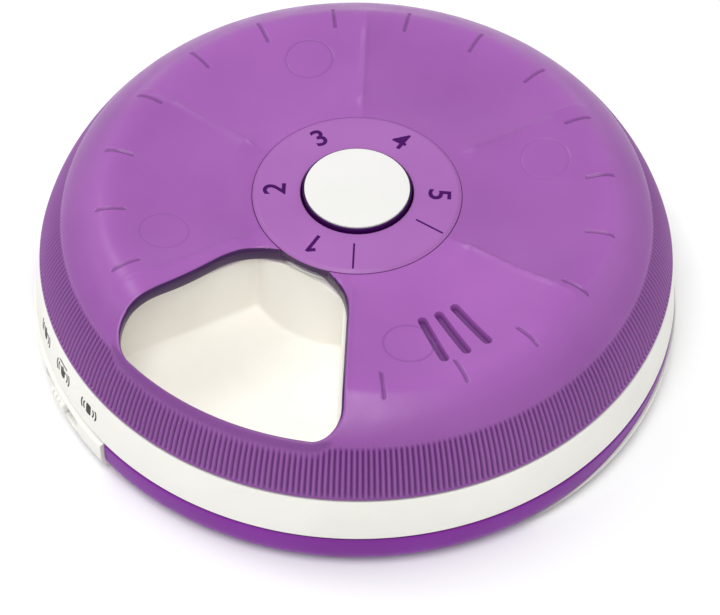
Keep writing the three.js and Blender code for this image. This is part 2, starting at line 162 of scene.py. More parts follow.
def mesh_of(points, faces):
    """Mesh from points in millimetres; coincident points are welded and the faces turned outward."""
    mesh = bpy.data.meshes.new("solid")
    mesh.from_pydata((np.asarray(points, float) * MM).tolist(), [], faces)
    work = bmesh.new()
    work.from_mesh(mesh)
    bmesh.ops.remove_doubles(work, verts=work.verts, dist=1e-6)
    bmesh.ops.dissolve_degenerate(work, edges=work.edges, dist=1e-7)
    bmesh.ops.recalc_face_normals(work, faces=work.faces)
    work.to_mesh(mesh)
    work.free()
    return mesh


def grid_faces(rows, columns, wrap_rows=True, wrap_columns=True):
    """Quads between points stored row by row."""
    faces = []
    for i in range(rows if wrap_rows else rows - 1):
        for j in range(columns if wrap_columns else columns - 1):
            a, b = i * columns, ((i + 1) % rows) * columns
            k = (j + 1) % columns
            faces.append((a + j, a + k, b + k, b + j))
    return faces


def lathe(profile, steps=160):
    """Closed [radius, z] profile, or one that starts and ends on the axis, turned about Z."""
    profile = np.array(profile, float)
    on_axis = profile[0, 0] == 0 and profile[-1, 0] == 0
    angles = np.arange(steps) * 2 * math.pi / steps
    points = np.stack([
        np.outer(np.cos(angles), profile[:, 0]).ravel(),
        np.outer(np.sin(angles), profile[:, 0]).ravel(),
        np.tile(profile[:, 1], steps),
    ], 1)
    return mesh_of(points, grid_faces(steps, len(profile), wrap_columns=not on_axis))


def turned(profile, arc=5, steps=160):
    """Profile with its corners rounded, turned about Z."""
    return lathe(rounded(profile, arc), steps)


def loft(rings):
    """Solid through rings with equal numbers of points, closed by its first and last ring."""
    count = len(rings[0])
    points = np.concatenate([np.asarray(ring, float) for ring in rings])
    faces = grid_faces(len(rings), count, wrap_rows=False)
    top = (len(rings) - 1) * count
    return mesh_of(points, [*faces, tuple(range(count))[::-1], tuple(range(top, top + count))])


def stacked(outline, *levels):
    """Upright solid whose outline grows or shrinks from level to level; each level is (z, growth)."""
    return loft([[(x, y, z) for x, y in outline(growth)] for z, growth in levels])


def slab(outline, low_z, high_z):
    return stacked(outline, (low_z, 0), (high_z, 0))


def disc(radius, x=0.0, y=0.0, steps=64):
    """Circle round a point."""
    angles = np.arange(steps) * 2 * math.pi / steps

    def outline(grow=0):
        reach = radius + grow
        return [(x + reach * math.cos(a), y + reach * math.sin(a)) for a in angles]
    return outline


def plate(width, depth, corner, x=0.0, y=0.0, arc=6):
    """Rounded rectangle."""
    def outline(grow=0):
        w, d = width / 2 + grow, depth / 2 + grow
        corners = [(x - w, y - d), (x + w, y - d), (x + w, y + d), (x - w, y + d)]
        return rounded([(*c, max(corner + grow, 0.02)) for c in corners], arc)
    return outline


def arc_band(inner, outer, azimuth, spread, x=0.0, y=0.0, steps=24):
    """Part of a flat ring, from azimuth - spread to azimuth + spread."""
    def outline(grow=0):
        side = math.degrees(grow / outer)
        angles = np.linspace(azimuth - spread - side, azimuth + spread + side, steps)
        there = [polar(outer + grow, a) for a in angles]
        back = [polar(inner - grow, a) for a in angles[::-1]]
        return [(x + p[0], y + p[1]) for p in there + back]
    return outline


def moved(mesh, x=0.0, y=0.0, z=0.0, turn=0.0, matrix=None):
    """Mesh turned about Z, then shifted, in millimetres; a matrix comes first."""
    if matrix is not None:
        mesh.transform(matrix)
    mesh.transform(Matrix.Translation(Vector((x, y, z)) * MM) @ Matrix.Rotation(math.radians(turn), 4, "Z"))
    return mesh


def placed(name, data):
    """New object that shows the data in the scene."""
    holder = bpy.data.objects.new(name, data)
    bpy.context.scene.collection.objects.link(holder)
    return holder


def evaluated(holder):
    """Mesh of an object as it looks after its modifiers."""
    return bpy.data.meshes.new_from_object(holder.evaluated_get(bpy.context.evaluated_depsgraph_get()))


def combined(operation, first, *others):
    """Mesh after joining (UNION), cutting (DIFFERENCE) or keeping the overlap (INTERSECT)."""
    holders = [placed("tool", mesh) for mesh in (first, *others)]
    for other in holders[1:]:
        modifier = holders[0].modifiers.new("combine", "BOOLEAN")
        modifier.operation = operation
        modifier.solver = "MANIFOLD"
        modifier.object = other
    result = evaluated(holders[0])
    for holder in holders:
        bpy.data.objects.remove(holder)
    return result


def cut(first, *others):
    return combined("DIFFERENCE", first, *others)


def join(first, *others):
    return combined("UNION", first, *others)


def together(*meshes):
    """One mesh that holds several separate solids."""
    work = bmesh.new()
    for mesh in meshes:
        work.from_mesh(mesh)
    result = bpy.data.meshes.new("together")
    work.to_mesh(result)
    work.free()
    return result


def piece(name, mesh, body, material, replaces=(), sharp=38):
    """Shown piece: smooth shaded up to the sharp angle, riding on a body, standing for CAD nodes."""
    mesh.name = name
    mesh.polygons.foreach_set("use_smooth", [True] * len(mesh.polygons))
    mesh.set_sharp_from_angle(angle=math.radians(sharp))
    mesh.materials.clear()
    mesh.materials.append(material)
    holder = placed(name, mesh)
    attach(holder, body)
    if replaces:
        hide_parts(*replaces)
    return holder


def set_painted_shade(mesh, shade_of):
    """Stores painted shade at each point, from the points in millimetres and their normals."""
    coordinates = np.zeros(len(mesh.vertices) * 3)
    mesh.vertices.foreach_get("co", coordinates)
    normals = np.array([v.normal[:] for v in mesh.vertices])
    tone = mesh.attributes.new("tone", "FLOAT", "POINT")
    tone.data.foreach_set("value", shade_of(coordinates.reshape(-1, 3) / MM, normals).astype(np.float32))


# Materials --------------------------------------------------------------------------------------------


def linear(hexcode):
    """Colour for a shader socket from its usual hex code."""
    channels = [int(hexcode[i:i + 2], 16) / 255 for i in (1, 3, 5)]
    return (*[c / 12.92 if c <= 0.04045 else ((c + 0.055) / 1.055) ** 2.4 for c in channels], 1.0)


class Shader:
    """Principled material with small helpers for the nodes that feed it."""

    def __init__(self, name, **sockets):
        self.material = bpy.data.materials.new(name)
        self.material.use_nodes = True
        self.tree = self.material.node_tree
        self.surface = self.tree.nodes["Principled BSDF"]
        for socket, value in sockets.items():
            self.surface.inputs[socket.replace("_", " ")].default_value = value
        self.place = self.add("ShaderNodeTexCoord").outputs["Object"]
        self.bumps = []

    def add(self, kind, **settings):
        node = self.tree.nodes.new(kind)
        for key, value in settings.items():
            setattr(node, key, value)
        return node

    def feed(self, source, target):
        self.tree.links.new(source, target)

    def noise(self, size, detail=3.0, stretch=(1, 1, 1)):
        """Soft noise whose features are size millimetres across, stretched along the axes."""
        mapping = self.add("ShaderNodeMapping")
        mapping.inputs["Scale"].default_value = [1 / (size * MM * s) for s in stretch]
        self.feed(self.place, mapping.inputs["Vector"])
        node = self.add("ShaderNodeTexNoise")
        node.inputs["Scale"].default_value = 1.0
        node.inputs["Detail"].default_value = detail
        self.feed(mapping.outputs["Vector"], node.inputs["Vector"])
        return node.outputs["Fac"]

    def spread(self, source, low_value, high_value, from_low=0.3, from_high=0.7):
        """Source spread from its usual range to a range of values."""
        node = self.add("ShaderNodeMapRange")
        node.inputs["From Min"].default_value = from_low
        node.inputs["From Max"].default_value = from_high
        node.inputs["To Min"].default_value = low_value
        node.inputs["To Max"].default_value = high_value
        self.feed(source, node.inputs["Value"])
        return node.outputs["Result"]

    def mix(self, factor, first, second):
        """Colour between two colours or sockets."""
        node = self.add("ShaderNodeMix", data_type="RGBA")
        self.feed(factor, node.inputs["Factor"])
        for value, socket in ((first, 6), (second, 7)):  # the node's sockets for colours
            if isinstance(value, tuple):
                node.inputs[socket].default_value = value
            else:
                self.feed(value, node.inputs[socket])
        return node.outputs[2]

    def attribute(self, name):
        return self.add("ShaderNodeAttribute", attribute_name=name).outputs["Fac"]

    def colour(self, source):
        self.feed(source, self.surface.inputs["Base Color"])

    def roughness(self, source):
        self.feed(source, self.surface.inputs["Roughness"])

    def bump(self, height, depth):
        """Adds relief of the given depth in millimetres."""
        node = self.add("ShaderNodeBump")
        node.inputs["Distance"].default_value = depth * MM
        node.inputs["Strength"].default_value = 1.0
        self.feed(height, node.inputs["Height"])
        if self.bumps:
            self.feed(self.bumps[-1].outputs["Normal"], node.inputs["Normal"])
        self.bumps.append(node)
        self.feed(node.outputs["Normal"], self.surface.inputs["Normal"])


def moulded(name, light, dark, roughness=0.38, grain=0.01, dust=0.06, shine=0.3):
    """Moulded plastic: slow colour drift, fine spark-eroded grain and faint rub marks."""
    shader = Shader(name, Specular_IOR_Level=shine)
    drift = shader.spread(shader.noise(14.0), 0.0, 1.0)
    shader.colour(shader.mix(drift, linear(light), linear(dark)))
    rub = shader.noise(3.0, 5.0, stretch=(1.0, 3.0, 1.0))
    shader.roughness(shader.spread(rub, roughness - dust, roughness + dust))
    shader.bump(shader.noise(0.22, 2.0), grain)
    shader.bump(shader.noise(7.0, 1.0), grain * 2)
    return shader


PAINTED_SHADE_COLOUR = "#2a0340"  # painted shade colour: the lid's plastic where shade is painted darkest


def tinted(name, light, dark, roughness):
    """Tinted lid plastic; a per-point attribute mixes in painted shade, darkening walls, hollows and shaded
    slopes.
    """
    shader = Shader(name, IOR=1.49, Specular_IOR_Level=0.35)
    drift = shader.spread(shader.noise(18.0), 0.0, 1.0)
    plain = shader.mix(drift, linear(light), linear(dark))
    # painted shade: the per-point attribute mixes the colour towards a dark shade colour
    shader.colour(shader.mix(shader.attribute("tone"), plain, linear(PAINTED_SHADE_COLOUR)))
    rub = shader.noise(2.5, 5.0, stretch=(1.0, 3.0, 1.0))
    shader.roughness(shader.spread(rub, roughness - 0.05, roughness + 0.05))
    shader.bump(shader.noise(0.3, 2.0), 0.006)
    shader.bump(shader.noise(6.0, 1.0), 0.02)
    return shader.material


def brushed(name, light, dark, roughness, stretch):
    """Metal with fine lines along the stretched axis and faint stains."""
    shader = Shader(name, Metallic=1.0)
    stain = shader.spread(shader.noise(4.0, 4.0), 0.0, 1.0)
    shader.colour(shader.mix(stain, linear(light), linear(dark)))
    lines = shader.noise(0.25, 3.0, stretch=stretch)
    shader.roughness(shader.spread(lines, roughness - 0.08, roughness + 0.1))
    shader.bump(lines, 0.004)
    return shader.material


def board_laminate():
    """Green solder mask over copper tracks that run in two directions."""
    shader = Shader("board", Coat_Weight=0.3)
    tracks = shader.add("ShaderNodeTexBrick")
    tracks.inputs["Scale"].default_value = 260.0
    tracks.inputs["Mortar Size"].default_value = 0.035
    tracks.inputs["Color1"].default_value = linear("#1a5a34")
    tracks.inputs["Color2"].default_value = linear("#175231")
    tracks.inputs["Mortar"].default_value = linear("#2f7a48")
    shader.feed(shader.place, tracks.inputs["Vector"])
    shader.colour(tracks.outputs["Color"])
    shader.roughness(shader.spread(shader.noise(1.5), 0.3, 0.5))
    shader.bump(tracks.outputs["Fac"], 0.03)
    return shader.material


def glass(name, tint, roughness, transmission):
    shader = Shader(name, IOR=1.49, Transmission_Weight=transmission)
    shader.colour(shader.mix(shader.spread(shader.noise(6.0), 0.0, 1.0), linear(tint), linear("#f2f5f4")))
    shader.roughness(shader.spread(shader.noise(2.0, 5.0), roughness, roughness + 0.05))
    shader.bump(shader.noise(5.0), 0.002)
    return shader.material


lid_purple = tinted("lid_purple", "#9c5aa9", "#9352a1", 0.33)
base_purple = moulded("base_purple", "#7c2494", "#732089", 0.36, shine=0.2).material
disc_purple = tinted("disc_purple", "#9c60a8", "#9558a1", 0.42)
deep_purple = moulded("deep_purple", "#3a0650", "#310544", 0.34, shine=0.15).material
housing_white = moulded("housing_white", "#e9e8e2", "#e2e1da", 0.36, 0.006).material
tray_white = moulded("tray_white", "#f7f5ee", "#f1eee5", 0.42, 0.006).material
cap_white = moulded("cap_white", "#dedddb", "#d6d6d3", 0.34, 0.004).material
purple_ink = moulded("purple_ink", "#45085e", "#3b0652", 0.5, 0.004, shine=0.1).material
black_ink = moulded("black_ink", "#1c1a1d", "#262428", 0.5, 0.004).material
dark_plastic = moulded("dark_plastic", "#1f1f22", "#18181a", 0.5).material
rubber = moulded("rubber", "#54575b", "#4b4e52", 0.72, 0.02).material
board = board_laminate()
display_glass = glass("display_glass", "#93a088", 0.12, 0.0)
window_clear = glass("window_clear", "#e6ecec", 0.03, 0.9)
steel = brushed("steel", "#c9ccd0", "#b7babd", 0.28, (1.0, 30.0, 1.0))
brass = brushed("brass", "#c2a35c", "#a98a48", 0.3, (30.0, 1.0, 1.0))
lead_red = moulded("lead_red", "#b3261e", "#a11f18", 0.55).material
lead_black = moulded("lead_black", "#222224", "#19191b", 0.55).material

# Lid --------------------------------------------------------------------------------------------------


def spline(knots):
    """Smooth curve z(r) through (r, z) knots, straight at both ends."""
    knots = np.array(sorted(knots), float)
    x, y = knots[:, 0], knots[:, 1]
    gap = np.diff(x)
    system = np.eye(len(x))
    load = np.zeros(len(x))
    for i in range(1, len(x) - 1):
        system[i, i - 1:i + 2] = gap[i - 1], 2 * (gap[i - 1] + gap[i]), gap[i]
        load[i] = 6 * ((y[i + 1] - y[i]) / gap[i] - (y[i] - y[i - 1]) / gap[i - 1])
    bend = np.linalg.solve(system, load)

    def height(r):
        r = np.asarray(r, float)
        i = np.clip(np.searchsorted(x, r) - 1, 0, len(gap) - 1)
        a, b = x[i + 1] - r, r - x[i]
        curve = (bend[i] * a ** 3 + bend[i + 1] * b ** 3) / (6 * gap[i])
        before = y[i] / gap[i] - bend[i] * gap[i] / 6
        after = y[i + 1] / gap[i] - bend[i + 1] * gap[i] / 6
        return curve + before * a + after * b
    return height


def band_points(steps):
    """Points of the bulged grip band from its crease down to the low edge."""
    slope = math.atan2(CREASE_Z - LID_LOW, LID_RADIUS - CREASE_RADIUS)
    t = np.linspace(0, 1, steps)
    swell = 4 * BAND_BULGE * t * (1 - t)
    radius = CREASE_RADIUS + (LID_RADIUS - CREASE_RADIUS) * t + swell * math.sin(slope)
    return np.stack([radius, CREASE_Z + (LID_LOW - CREASE_Z) * t + swell * math.cos(slope)], 1)


class Profile:
    """Lid section as a curve with a measure along it, from the flange's hole out to the low edge."""

    def __init__(self):
        seat = [(HUB_HOLE, DISC_SEAT_Z), (SEAT_EDGES[0], DISC_SEAT_Z), (SEAT_EDGES[1], 24.5)]
        dish = [(DISC_SEAT_RADIUS, 24.74), (19.5, 24.22), (25, 24.25), (30, 24.75)]
        crown = [(33.4, 25.3), (35.4, 25.3)]
        shoulder = [(37.0, 24.62), (38.6, 23.72), (40.0, 22.72), (CREASE_RADIUS, CREASE_Z)]
        band = band_points(40)
        top = spline([*dish, *crown, *shoulder, tuple(band[6]), tuple(band[12])])
        radius = np.linspace(SEAT_EDGES[3], CREASE_RADIUS, 240)
        round_over = [(SEAT_EDGES[2], float(top(SEAT_EDGES[3])) - 0.04)]
        points = np.concatenate([seat, round_over, np.stack([radius, top(radius)], 1), band[1:]])
        self.length = np.concatenate([[0], np.cumsum(np.hypot(*np.diff(points, axis=0).T))])
        self.points = points
        self.crease = float(np.interp(CREASE_RADIUS, points[:, 0], self.length))

    def at(self, s):
        return np.interp(s, self.length, self.points[:, 0]), np.interp(s, self.length, self.points[:, 1])

    def along(self, radius):
        return np.interp(radius, self.points[:, 0], self.length)


section = Profile()
TOP_END = section.crease + TOP_ENDS


def opening(grow=0.0):
    """Outline of the lid's opening: an arc at the rim, two straight sides and a round nose at the hub."""
    rim, nose = 41 + grow, 11.2 + grow

    def line(azimuth, inward, inset):
        along = polar(1, azimuth)
        across = left_of(along) * inward
        return along, across, inset - grow

    right = line(-90, -1, 0.5)
    left = line(-141.5, 1, -1.45)

    def corner(edge, radius):
        along, across, inset = edge
        d = inset + radius
        s = math.sqrt((rim - radius) ** 2 - d ** 2)
        centre = along * s + across * d
        return centre, radius, along * s + across * inset, unit(centre) * rim

    right_centre, right_round, on_right, rim_right = corner(right, 3.6 + grow)
    left_centre, left_round, on_left, rim_left = corner(left, 5 + grow)
    hub = np.linalg.solve(np.array([right[1], left[1]]), [right[2] + nose, left[2] + nose])

    def arc(centre, radius, start, end, count):
        first, last = [math.atan2(*(p - centre)[::-1]) for p in (start, end)]
        turn = (last - first) % (2 * math.pi)
        angles = first + turn * np.arange(count) / count
        return np.stack([centre[0] + radius * np.cos(angles), centre[1] + radius * np.sin(angles)], 1)

    def straight(start, end, count):
        t = np.arange(count)[:, None] / count
        return start + (end - start) * t

    nose_right, nose_left = hub - right[1] * nose, hub - left[1] * nose
    return np.concatenate([
        arc(np.zeros(2), rim, rim_left, rim_right, 110),
        arc(right_centre, right_round, rim_right, on_right, 18),
        straight(on_right, nose_right, 44),
        arc(hub, nose, nose_right, nose_left, 72),
        straight(nose_left, on_left, 44),
        arc(left_centre, left_round, on_left, rim_left, 24),
    ])


def outside_opening(points):
    """How far points lie outside the opening; the outline is convex, so its edges' half-planes give it."""
    outline = opening()
    edge = np.roll(outline, -1, axis=0) - outline
    normal = np.stack([edge[:, 1], -edge[:, 0]], 1) / np.linalg.norm(edge, axis=1)[:, None]
    return (points @ normal.T - (outline * normal).sum(1)).max(1)


def rib_cut(plan, s):
    """Share of the full groove depth at points: none near the opening, at the crease or on the low lip."""
    start, end = section.crease + RIBS_FROM, section.length[-1]
    along = smoothstep(s, start, start + 0.45) * (1 - smoothstep(s, *(end - to for to in RIBS_TO)))
    groove = 0.5 - 0.5 * np.cos(np.arctan2(plan[:, 1], plan[:, 0]) * RIBS)
    return along * groove * smoothstep(outside_opening(plan), *RIB_MARGIN)


def ribbed(plan, s):
    """Radius and height of points on the section with the grip grooves sunk into it."""
    radius, z = section.at(s)
    ahead, behind = section.at(s + 0.05), section.at(s - 0.05)
    run, fall = ahead[0] - behind[0], ahead[1] - behind[1]
    sink = RIB_DEPTH * rib_cut(plan, s) / np.hypot(run, fall)
    return radius + fall * sink, z - run * sink


class Mark:
    """Debossed stadium line: a tick, a groove or, with no length, a ring at reach from its centre."""

    def __init__(self, radius, azimuth, half_width, depth, tone, half_length=0.0, reach=0.0, flat=False):
        self.centre = polar(radius, azimuth)
        self.along = polar(1, azimuth)
        self.half_length, self.reach, self.half_width = half_length, reach, half_width
        self.depth, self.tone, self.flat = depth, tone, flat

    def across(self, points):
        """Distance from the mark's line, in half widths."""
        offset = points - self.centre
        run = np.clip(offset @ self.along, -self.half_length, self.half_length)
        distance = np.linalg.norm(offset - run[:, None] * self.along, axis=1)
        return np.abs(distance - self.reach) / self.half_width

    def shape(self, points):
        """Share of the mark's full depth at points."""
        q = self.across(points)
        return 1 - smoothstep(q, 0.45, 1.0) if self.flat else np.clip(1 - q * q, 0, 1) ** 2

    def rings(self):
        """Points of stadium-shaped rings that follow the mark."""
        sideways = left_of(self.along)
        rows = []
        for k in np.linspace(-1.25, 1.25, 11):
            radius = self.reach + k * self.half_width
            if radius < 0.02:
                continue
            around = max(10, round(2 * math.pi * radius / 0.22)) if self.half_length == 0 else 12
            angles = np.arange(around + 1) * math.pi / around - math.pi / 2
            cap = np.outer(np.cos(angles), self.along) + np.outer(np.sin(angles), sideways)
            run = np.linspace(self.half_length, -self.half_length, max(2, round(self.half_length * 8)))[1:-1]
            rows.append(self.centre + self.along * self.half_length + radius * cap)
            rows.append(self.centre - self.along * self.half_length - radius * cap)
            if self.half_length:
                rows.append(self.centre + np.outer(run, self.along) + radius * sideways)
                rows.append(self.centre + np.outer(run, self.along) - radius * sideways)
        if self.half_length:
            run = np.linspace(-self.half_length, self.half_length, round(self.half_length * 10))
            rows.append(self.centre + np.outer(run, self.along))
        return np.concatenate(rows)


# Each mark carries painted shade that darkens the lid's colour in its hollow.
TICKS = [Mark(34.3, 8 + 18 * k, half_width=0.4, depth=0.26, tone=0.45, half_length=1.9) for k in range(20)]
RINGS = [Mark(27.4, 17 + 90 * k, half_width=0.26, depth=0.06, tone=0.22, reach=3.4) for k in range(4)]
GROOVES = [
    Mark(27.65, BLANK + 6 * k, half_width=0.68, depth=0.95, tone=0.55, half_length=3.75, flat=True)
    for k in (-1, 0, 1)
]
PANEL_SHADES = (0.0, 0.13, 0.12, 0.03, 0.1, 0.05)  # painted shade per panel, for how light falls on each, from the grooved panel on, counter-clockwise
PANEL_FADE = 31, 38  # the panels' dishes and painted shades fade out between these radii
SEAM_RISE, DISH_DROP = 1.15, 0.25  # a panel rises by this much to its seams, from this far below the section
SEAM_HEIGHT, SEAM_WIDTH = 0.2, 0.34  # fine ridge along each seam
LIP = 0.75  # rounding of the opening's upper edge
UNDER_LIP = 0.4  # rounding of its lower edge
LIP_ROWS = [0, 0.03, 0.08, 0.15, 0.25, 0.36, 0.5, 0.64, 0.78, 1.0]  # distances from it with rows of points


def edge_round(distance, radius):
    """How far a rounded edge falls below the face, at a distance from the edge."""
    d = np.clip(distance, 0, radius)
    return radius - np.sqrt(np.maximum(radius ** 2 - (radius - d) ** 2, 0))


def shown_marks():
    """Marks that lie clear of the opening."""
    kept = []
    for mark in TICKS + RINGS + GROOVES:
        ends = mark.centre + np.outer([-1, 0, 1], mark.along) * (mark.half_length + mark.reach)
        if outside_opening(ends).min() > 1.6 + mark.half_width:
            kept.append(mark)
    return kept


def seam_angle(points):
    """Degrees from the nearest seam between the panels."""
    azimuth = np.degrees(np.arctan2(points[:, 1], points[:, 0]))
    return np.abs(azimuth % SECTOR - SECTOR / 2)


def relief(points, marks):
    """Height over the plain lid section: dished panels, seams between them, marks and the opening's lip."""
    radius = np.hypot(*points.T)
    away = seam_angle(points)
    inner = smoothstep(radius, 15.5, 19)
    outer = 1 - smoothstep(radius, *PANEL_FADE)
    dish = SEAM_RISE * (1 - away / (SECTOR / 2)) ** 2 - DISH_DROP
    seam = SEAM_HEIGHT * np.exp(-(np.radians(away) * radius / SEAM_WIDTH) ** 2)
    height = (dish + seam) * inner * outer
    for mark in marks:
        height -= mark.depth * mark.shape(points)
    lip = smoothstep(radius, 14.5, 16.5)  # the lip runs out on the disc's seat
    return height - lip * edge_round(outside_opening(points), LIP)


def ring_points(radius, count, phase=0.0):
    angles = (np.arange(count) + phase) * 2 * math.pi / count
    return np.stack([radius * np.cos(angles), radius * np.sin(angles)], 1)


def seam_lines(spacing):
    """Rows of points along the seams between the panels."""
    radius = np.arange(DISC_SEAT_RADIUS + 0.6, 38, spacing)
    shifts = (-0.9, -0.55, -0.25, 0, 0.25, 0.55, 0.9)
    rows = []
    for k in range(6):
        along = polar(1, FIRST_WALL + SECTOR * k)
        sideways = left_of(along)
        rows += [np.outer(radius, along) + shift * sideways for shift in shifts]
    return np.concatenate(rows)


def flat_mesh(groups, holes):
    """Triangles over groups of plan points; the first groups, holes of them, are outlines of holes."""
    starts = np.cumsum([0, *[len(group) for group in groups]])
    outlines = [list(range(starts[i], starts[i + 1])) for i in range(holes)]
    spots = [Vector(p) for p in np.concatenate(groups)]
    flat, _, faces, _, _, inside = delaunay_2d_cdt(spots, [], outlines, 0, 1e-6, True)
    flat = np.array([tuple(p) for p in flat])
    return flat, np.array([face for face, holes_round in zip(faces, inside) if not holes_round])


def lid_top(marks):
    """The lid's outer face from the number disc to the top of the grip band, as points and faces."""
    spacing = 0.4
    limit = HUB_HOLE + TOP_END  # the flat layout measures radius along the section

    def layout(points):
        radius = np.hypot(*points.T)
        return points * ((HUB_HOLE + section.along(radius)) / radius)[:, None]

    def lift(flat):
        reach = np.hypot(*flat.T)
        smooth = flat * (section.at(reach - HUB_HOLE)[0] / reach)[:, None]
        radius, z = ribbed(smooth, reach - HUB_HOLE)
        return flat * (radius / reach)[:, None], z

    rows = [opening(d) for d in LIP_ROWS]
    rings = [mark.rings() for mark in marks]
    seams = seam_lines(spacing)
    base = []
    first = float(section.along(SEAT_EDGES[3])) + 0.3
    for i, s in enumerate(np.arange(first, section.crease + 0.05, spacing)):
        radius = float(section.at(s)[0])
        base.append(ring_points(radius, round(2 * math.pi * radius / spacing), 0.5 * (i % 2)))
    for s in np.arange(section.crease + 0.2, TOP_END - 0.1, 0.22):
        base.append(ring_points(float(section.at(s)[0]), RIB_STEPS))
    base = np.concatenate(base)
    radius = np.hypot(*base.T)
    seam_gap = np.radians(seam_angle(base)) * radius
    base = base[(seam_gap > 1.15) | (radius > 37.8)]

    def clear(points):
        keep = outside_opening(points) > LIP_ROWS[-1] + 0.15
        for mark in marks:
            keep &= mark.across(points) > 1.25 + 0.18 / mark.half_width
        return points[keep]

    hub = ring_points(HUB_HOLE, HUB_STEPS)
    inner = np.concatenate([ring_points(r, HUB_STEPS) for r in (13.2, 14.2, *SEAT_EDGES)])
    inner = inner[outside_opening(inner) > 0.04]
    edge = ring_points(1, RIB_STEPS) * limit
    plan_points = [rows[0], hub, *rows[1:], *rings, clear(base), clear(seams), inner]
    flat, faces = flat_mesh([*[layout(group) for group in plan_points], edge], holes=2)
    plan, z = lift(flat)
    return np.column_stack([plan, z + relief(plan, marks)]), faces


def lid_band():
    """Grip band from the edge of lid_top down, its smooth lip and the low edge, as rows of points."""
    end = section.length[-1]
    rows = [*np.linspace(TOP_END, end - 1.2, 8), *(end - np.array([0.85, 0.72, 0.6, 0.48, 0.3]))]
    circle = ring_points(1, RIB_STEPS)
    grid = []
    for s in rows:
        radius, z = ribbed(circle * section.at(s)[0], np.full(RIB_STEPS, s))
        grid.append(np.column_stack([circle * radius[:, None], z]))
    low_edge = rounded([section.at(end - 0.28), (LID_RADIUS, LID_LOW, 0.22), (LID_INNER, LID_LOW)], 4)
    for radius, z in low_edge[1:]:
        grid.append(np.column_stack([circle * radius, np.full(RIB_STEPS, z)]))
    return grid


UNDERSIDE = spline([
    (HUB_HOLE, FLANGE_LOW), (17, FLANGE_LOW), (20, 22.4), (25, 22.5), (30, 23.0), (33.5, 23.55),
    (35.8, 23.1), (38.4, 21.45), (39.8, 20.2), (41.6, 17.2), (LID_INNER, LID_LOW),
])


def lid_underside():
    """The lid's inner face, as points and faces."""
    rows = [opening(d) for d in (0, 0.08, 0.2, 0.4, 0.7)]
    base = []
    for i, radius in enumerate(np.arange(13.2, 42.9, 0.8)):
        base.append(ring_points(radius, round(2 * math.pi * radius / 1.2), 0.5 * (i % 2)))
    base = np.concatenate(base)
    base = base[outside_opening(base) > 1.1]
    hub = ring_points(HUB_HOLE, HUB_STEPS)
    plan, faces = flat_mesh([rows[0], hub, *rows[1:], base, ring_points(LID_INNER, RIB_STEPS)], holes=2)
    radius = np.hypot(*plan.T)
    z = UNDERSIDE(radius) + edge_round(outside_opening(plan), UNDER_LIP)
    return np.column_stack([plan, np.where(radius > LID_INNER - 0.01, LID_LOW, z)]), faces


def lid_painted_shade(points, normals):
    """Painted shade on the lid: darkest on the opening's wall, darker in grooves and marks, on the smooth
    strip before the opening, per panel, on the rim shoulder and towards the low edge.
    """
    plan = points[:, :2]
    radius = np.hypot(*plan.T)
    outside = outside_opening(plan)
    end = section.length[-1]
    along = section.along(radius)
    # Painted shade: the opening's wall darkest, then the strip before the opening, the panels, the rim
    # shoulder, the rib grooves, the low lip and the marks' hollows.
    wall = (outside < 0.35) & (np.abs(normals[:, 2]) < 0.75)
    margin = smoothstep(radius, 40.6, 41.3) * (1 - smoothstep(outside, *RIB_MARGIN))
    panel = (np.degrees(np.arctan2(plan[:, 1], plan[:, 0])) - FIRST_WALL) // SECTOR % 6
    panels = np.array(PANEL_SHADES)[panel.astype(int)] * (1 - smoothstep(radius, *PANEL_FADE))
    painted_shades = [0.95 * wall, 0.45 * margin, panels, 0.2 * smoothstep(radius, 34, 41)]
    painted_shades += [0.75 * rib_cut(plan, along), 0.4 * smoothstep(along, end - 0.9, end - 0.5)]
    painted_shades += [mark.tone * mark.shape(plan) for mark in shown_marks()]
    return np.maximum.reduce(painted_shades)


def outline_heights(points, outline):
    """Height of the surface's own point at each point of the outline."""
    heights = []
    for spot in outline:
        gap = np.abs(points[:, :2] - spot).sum(1)
        heights.append(points[gap.argmin(), 2])
    return np.array(heights)


def lid():
    top, top_faces = lid_top(shown_marks())
    under, under_faces = lid_underside()
    outline = opening()
    near_top = outline_heights(top, outline)
    near_under = outline_heights(under, outline)
    wall = [np.column_stack([outline, near_top + (near_under - near_top) * t]) for t in (0, 0.5, 1)]
    hub = ring_points(HUB_HOLE, HUB_STEPS)
    bore = [np.column_stack([hub, np.full(HUB_STEPS, z)]) for z in (DISC_SEAT_Z, FLANGE_LOW)]
    points, faces = [], []
    patches = ([top], top_faces), (lid_band(), None), ([under], under_faces), (wall, None), (bore, None)
    for rows, patch_faces in patches:
        start = sum(map(len, points))
        if patch_faces is None:
            patch_faces = grid_faces(len(rows), len(rows[0]), wrap_rows=False)
        faces += [tuple(start + i for i in face) for face in patch_faces]
        points += rows
    mesh = mesh_of(np.concatenate(points), faces)
    set_painted_shade(mesh, lid_painted_shade)
    piece("lid_shell", mesh, "lid", lid_purple, ["lid"], sharp=50)


lid()

# Number disc and centre button ------------------------------------------------------------------------

DISC_HOLE = 7.9
DISC_EDGE = high("number_disc").x
NUMERAL_RADIUS = 11.35
NUMERAL_SIZE = 4.4  # type size; the figures come out 3.2 mm tall
INK = 0.03  # how far printing stands off its face


def pin(radius, z0, z1, x=0.0, y=0.0, steps=40):
    return slab(disc(radius, x, y, steps), z0, z1)


def hub_screw_at(i):
    return polar(HUB_SCREW_CIRCLE, 30 + 120 * i)


def disc_height(radius):
    return DISC_TOP - 0.25 * (radius - DISC_HOLE) / (DISC_EDGE - 0.4 - DISC_HOLE)


